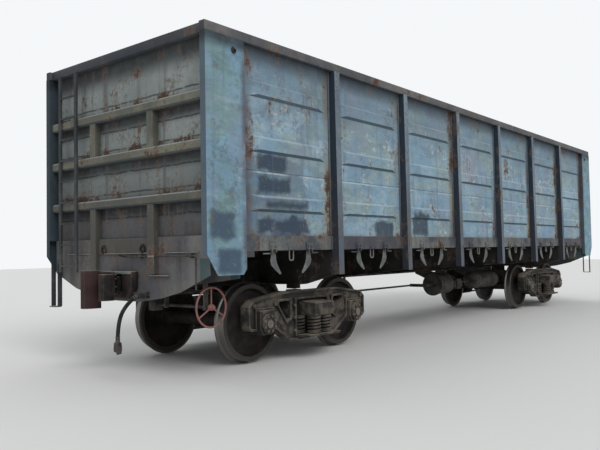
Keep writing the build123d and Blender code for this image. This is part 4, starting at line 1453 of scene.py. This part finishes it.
@dataclass
class DraftGear(Assembly):
    """Eased couplers and strikers, with each striker's lip and the lever that opens the coupler."""

    lever_x: float = 6.540
    lever_y: Span = (0.10, 1.30)
    lever_z: float = up(1.318)
    lever_radius: float = 0.010
    handle: float = 0.360
    chain_arm: float = 0.120
    arm_radius: float = 0.011
    bracket_places: Span = (0.36, 1.22)
    bracket_x: Span = (6.498, 6.556)
    lip_x: Span = (6.580, 6.612)
    lip_half: float = 0.255
    lip_z: Span = (up(1.118), up(1.152))
    rivet_y: float = 0.19
    rivet_radius: float = 0.012

    def build(self) -> None:
        """Makes the draft gear of both ends."""
        for end, _ in ENDS:
            self.soften(f"coupler_{end}", Slot.COUPLER, 0.010)
        self.soften("strikers", Slot.COUPLER, 0.012)
        self.keep(self._levers(), "release_levers", Slot.BRAKE)
        self.keep(self._lips(), "striker_lips", Slot.LOCK)

    def _lips(self) -> Shape:
        """Worn lip over the coupler on each striker, with its rivets.

        Returns:
            The lips of both ends.
        """
        shape = Shape()
        (back, front), (low, high) = self.lip_x, self.lip_z
        middle = (low + high) / 2
        for _, sign in ENDS:
            shape.box((sign * back, -self.lip_half, low), (sign * front, self.lip_half, high), 0.008)
            for y in (-self.rivet_y, self.rivet_y):
                shape.rod((sign * (front - 0.006), y, middle), (sign * (front + 0.008), y, middle),
                          self.rivet_radius, 10)
        return shape

    def _levers(self) -> Shape:
        """Lever rod along each end beam, its brackets, handle and chain arm.

        Returns:
            The levers of both ends.
        """
        shape = Shape()
        radius, z = self.lever_radius, self.lever_z
        for _, sign in ENDS:
            x = sign * self.lever_x
            inner, outer = (sign * y for y in self.lever_y)
            shape.rod((x, inner, z), (x, outer, z), radius, 10)
            shape.rod((x, outer, z + 0.006), (x, outer, z - self.handle), radius, 10)
            shape.rod((x, inner, z), (x + sign * self.chain_arm, inner, z + 0.02), self.arm_radius, 10)
            back, front = (sign * reach for reach in self.bracket_x)
            for place in self.bracket_places:
                y = sign * place
                shape.box((back, y - 0.014, z - 0.022), (front, y + 0.014, z + 0.022), 0.004)
        return shape


@dataclass
class BrakeHose(Assembly):
    """Free brake hose of one end: it hangs from its cock, with clamped nipples and its coupling head."""

    end: str
    sign: int
    diameter: float = 0.044
    length: float = 0.586

    # corners of the route at end b
    ROUTE: ClassVar = ((6.650, 0.440, 0.908), (6.782, 0.440, 0.838), (6.904, 0.440, 0.643), (6.904, 0.440, 0.423))

    def build(self) -> None:
        """Makes the hose and its clamps."""
        route = [Vector((self.sign * x, self.sign * y, z)) for x, y, z in self.ROUTE]
        self.keep(self._fittings(route), f"hose_fittings_{self.end}", Slot.BRAKE)
        self._hose(route, [frame["nodes"][f"hose_coupling_{self.end}"]])

    def _hose(self, route: Sequence[Vector], on_it: Sequence[bpy.types.Object]) -> None:
        """Lays the hose on one smooth curve.

        Args:
            route: corners that the curve is drawn towards.
            on_it: the pieces that hang on the hose; not used.
        """
        data = bpy.data.curves.new(f"hose_{self.end}", "CURVE")
        data.dimensions = "3D"
        data.bevel_depth = self.diameter / 2
        data.bevel_resolution = 5
        data.use_fill_caps = True
        line = data.splines.new("NURBS")
        line.points.add(len(route) - 1)
        for point, corner in zip(line.points, route):
            point.co = (*corner, 1.0)
        line.order_u = 3
        line.use_endpoint_u = True
        line.resolution_u = 16
        data.materials.append(PaintShop.material(Slot.HOSE.value))
        hose = bpy.data.objects.new(f"hose_{self.end}", data)
        bpy.context.scene.collection.objects.link(hose)
        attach(hose, "wagon_body")
        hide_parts(f"brake_hose_{self.end}")
        self.pieces.append(hose)
        LOG.info("hose_%s: %.3f m long", self.end, self.length)

    def _fittings(self, route: Sequence[Vector]) -> Shape:
        """Nipples and clamps at both ends of the hose.

        Args:
            route: corners of the hose's curve.

        Returns:
            The fittings.
        """
        shape = Shape()
        r = self.diameter / 2
        nipple = ((0.0, r), (0.0, r + 0.004), (0.030, r + 0.0035), (0.034, r))
        clamp = ((0.046, r), (0.046, r + 0.0035), (0.060, r + 0.0035), (0.060, r))
        for foot, ahead in ((route[0], route[1]), (route[-1], route[-2])):
            for profile in (nipple, clamp):
                shape.lathe(profile, foot, ahead - foot, 24)
        return shape


@dataclass
class Studio:
    """Camera at the photograph's angle, pale floor and soft light."""

    eye: Point = (-11.202, -6.556, 1.379)
    yaw: float = 39.45
    pitch: float = 2.23
    roll: float = -1.0
    focal_pixels: float = 662.6
    image_width: float = 600.0
    sensor: float = 36.0
    far_clip: float = 200.0
    floor_reach: float = 60.0
    floor_grey: str = "d9d9d7"
    sky_light: float = 0.62
    sky_seen: float = 0.95
    sky_colour: Colour = (0.96, 0.98, 1.0, 1.0)

    # columns: name, direction from the wagon, strength, angle that it fills in degrees
    LAMPS: ClassVar = (("key_light", (-0.45, -0.95, 0.9), 1.25, 35.0), ("fill_light", (0.3, 0.8, 1.2), 0.5, 50.0))

    def build(self) -> None:
        """Makes the camera, the floor, the world and the lamps."""
        self._camera()
        self._floor()
        self._world()
        for name, towards, power, spread in self.LAMPS:
            self._sun(name, towards, power, spread)
        bpy.context.scene.view_settings.view_transform = "Standard"

    def _camera(self) -> None:
        """Camera as fitted to the picture's perspective."""
        yaw, pitch, roll = (math.radians(angle) for angle in (self.yaw, self.pitch, self.roll))
        forward = Vector((math.cos(yaw) * math.cos(pitch), math.sin(yaw) * math.cos(pitch), math.sin(pitch)))
        level = Vector((math.sin(yaw), -math.cos(yaw), 0.0))
        upright = level.cross(forward)
        right = math.cos(roll) * level + math.sin(roll) * upright
        top = math.cos(roll) * upright - math.sin(roll) * level
        data = bpy.data.cameras.new("camera")
        data.sensor_width = self.sensor
        data.lens = self.focal_pixels / self.image_width * self.sensor
        data.clip_end = self.far_clip
        camera = bpy.data.objects.new("camera", data)
        turned = Matrix((right, top, -forward)).transposed().to_4x4()
        camera.matrix_world = Matrix.Translation(self.eye) @ turned
        bpy.context.scene.collection.objects.link(camera)
        bpy.context.scene.camera = camera

    def _floor(self) -> None:
        """Pale level floor under the wheels."""
        bm = bmesh.new()
        bmesh.ops.create_grid(bm, x_segments=1, y_segments=1, size=self.floor_reach)
        mesh = bpy.data.meshes.new("floor")
        bm.to_mesh(mesh)
        bm.free()
        floor = bpy.data.objects.new("floor", mesh)
        bpy.context.scene.collection.objects.link(floor)
        mesh.materials.append(Shader(bpy.data.materials.new("floor_grey")).finish(tone(self.floor_grey), 0.9))

    def _world(self) -> None:
        """Even sky light, seen as white behind the wagon."""
        sky = Shader(bpy.data.worlds.new("studio"))
        to_camera, glossy = (sky.node("ShaderNodeLightPath", output=f"Is {ray} Ray") for ray in ("Camera", "Glossy"))
        seen = to_camera.math("MAXIMUM", glossy)
        strength = sky.node("ShaderNodeMapRange", {},
                            {"Value": seen, "To Min": self.sky_light, "To Max": self.sky_seen})
        light = sky.node("ShaderNodeBackground", {}, {"Color": self.sky_colour, "Strength": strength})
        sky.node("ShaderNodeOutputWorld", {}, {"Surface": light})
        bpy.context.scene.world = sky.block

    def _sun(self, name: str, towards: Point, power: float, spread: float) -> None:
        """Wide soft lamp from a direction.

        Args:
            name: the lamp's name.
            towards: direction from the wagon to the lamp.
            power: its strength.
            spread: angle that it fills, in degrees.
        """
        data = bpy.data.lights.new(name, "SUN")
        data.energy = power
        data.angle = math.radians(spread)
        lamp = bpy.data.objects.new(name, data)
        lamp.rotation_mode = "QUATERNION"
        lamp.rotation_quaternion = Vector(towards).to_track_quat("Z", "Y")
        bpy.context.scene.collection.objects.link(lamp)


def main() -> None:
    """Dresses the frame and builds every sub-assembly."""
    logging.basicConfig(level=logging.INFO, format="%(name)s %(message)s")
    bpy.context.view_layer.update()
    for obj in [o for o in bpy.context.scene.objects if o.type in ("LIGHT", "CAMERA")]:
        bpy.data.objects.remove(obj)
    Studio().build()
    PaintShop.dress_frame()
    assemblies: list[Assembly] = []
    for end, sign in ENDS:
        assemblies.append(Bogie(end, sign))
        for number, offset in (("1", AXLE_OFFSET), ("2", -AXLE_OFFSET)):
            assemblies.append(Wheelset(f"wheelset_{end}{number}", sign * (BOGIE_X + offset)))
        assemblies.append(BrakeHose(end, sign))
    assemblies += [HandWheel(), AirGear(), HatchLocks(), BodyTrim(), DraftGear()]
    for assembly in assemblies:
        assembly.build()
        LOG.info("%s: %d pieces", type(assembly).__name__, len(assembly.pieces))


if __name__ == "__main__":
    main()
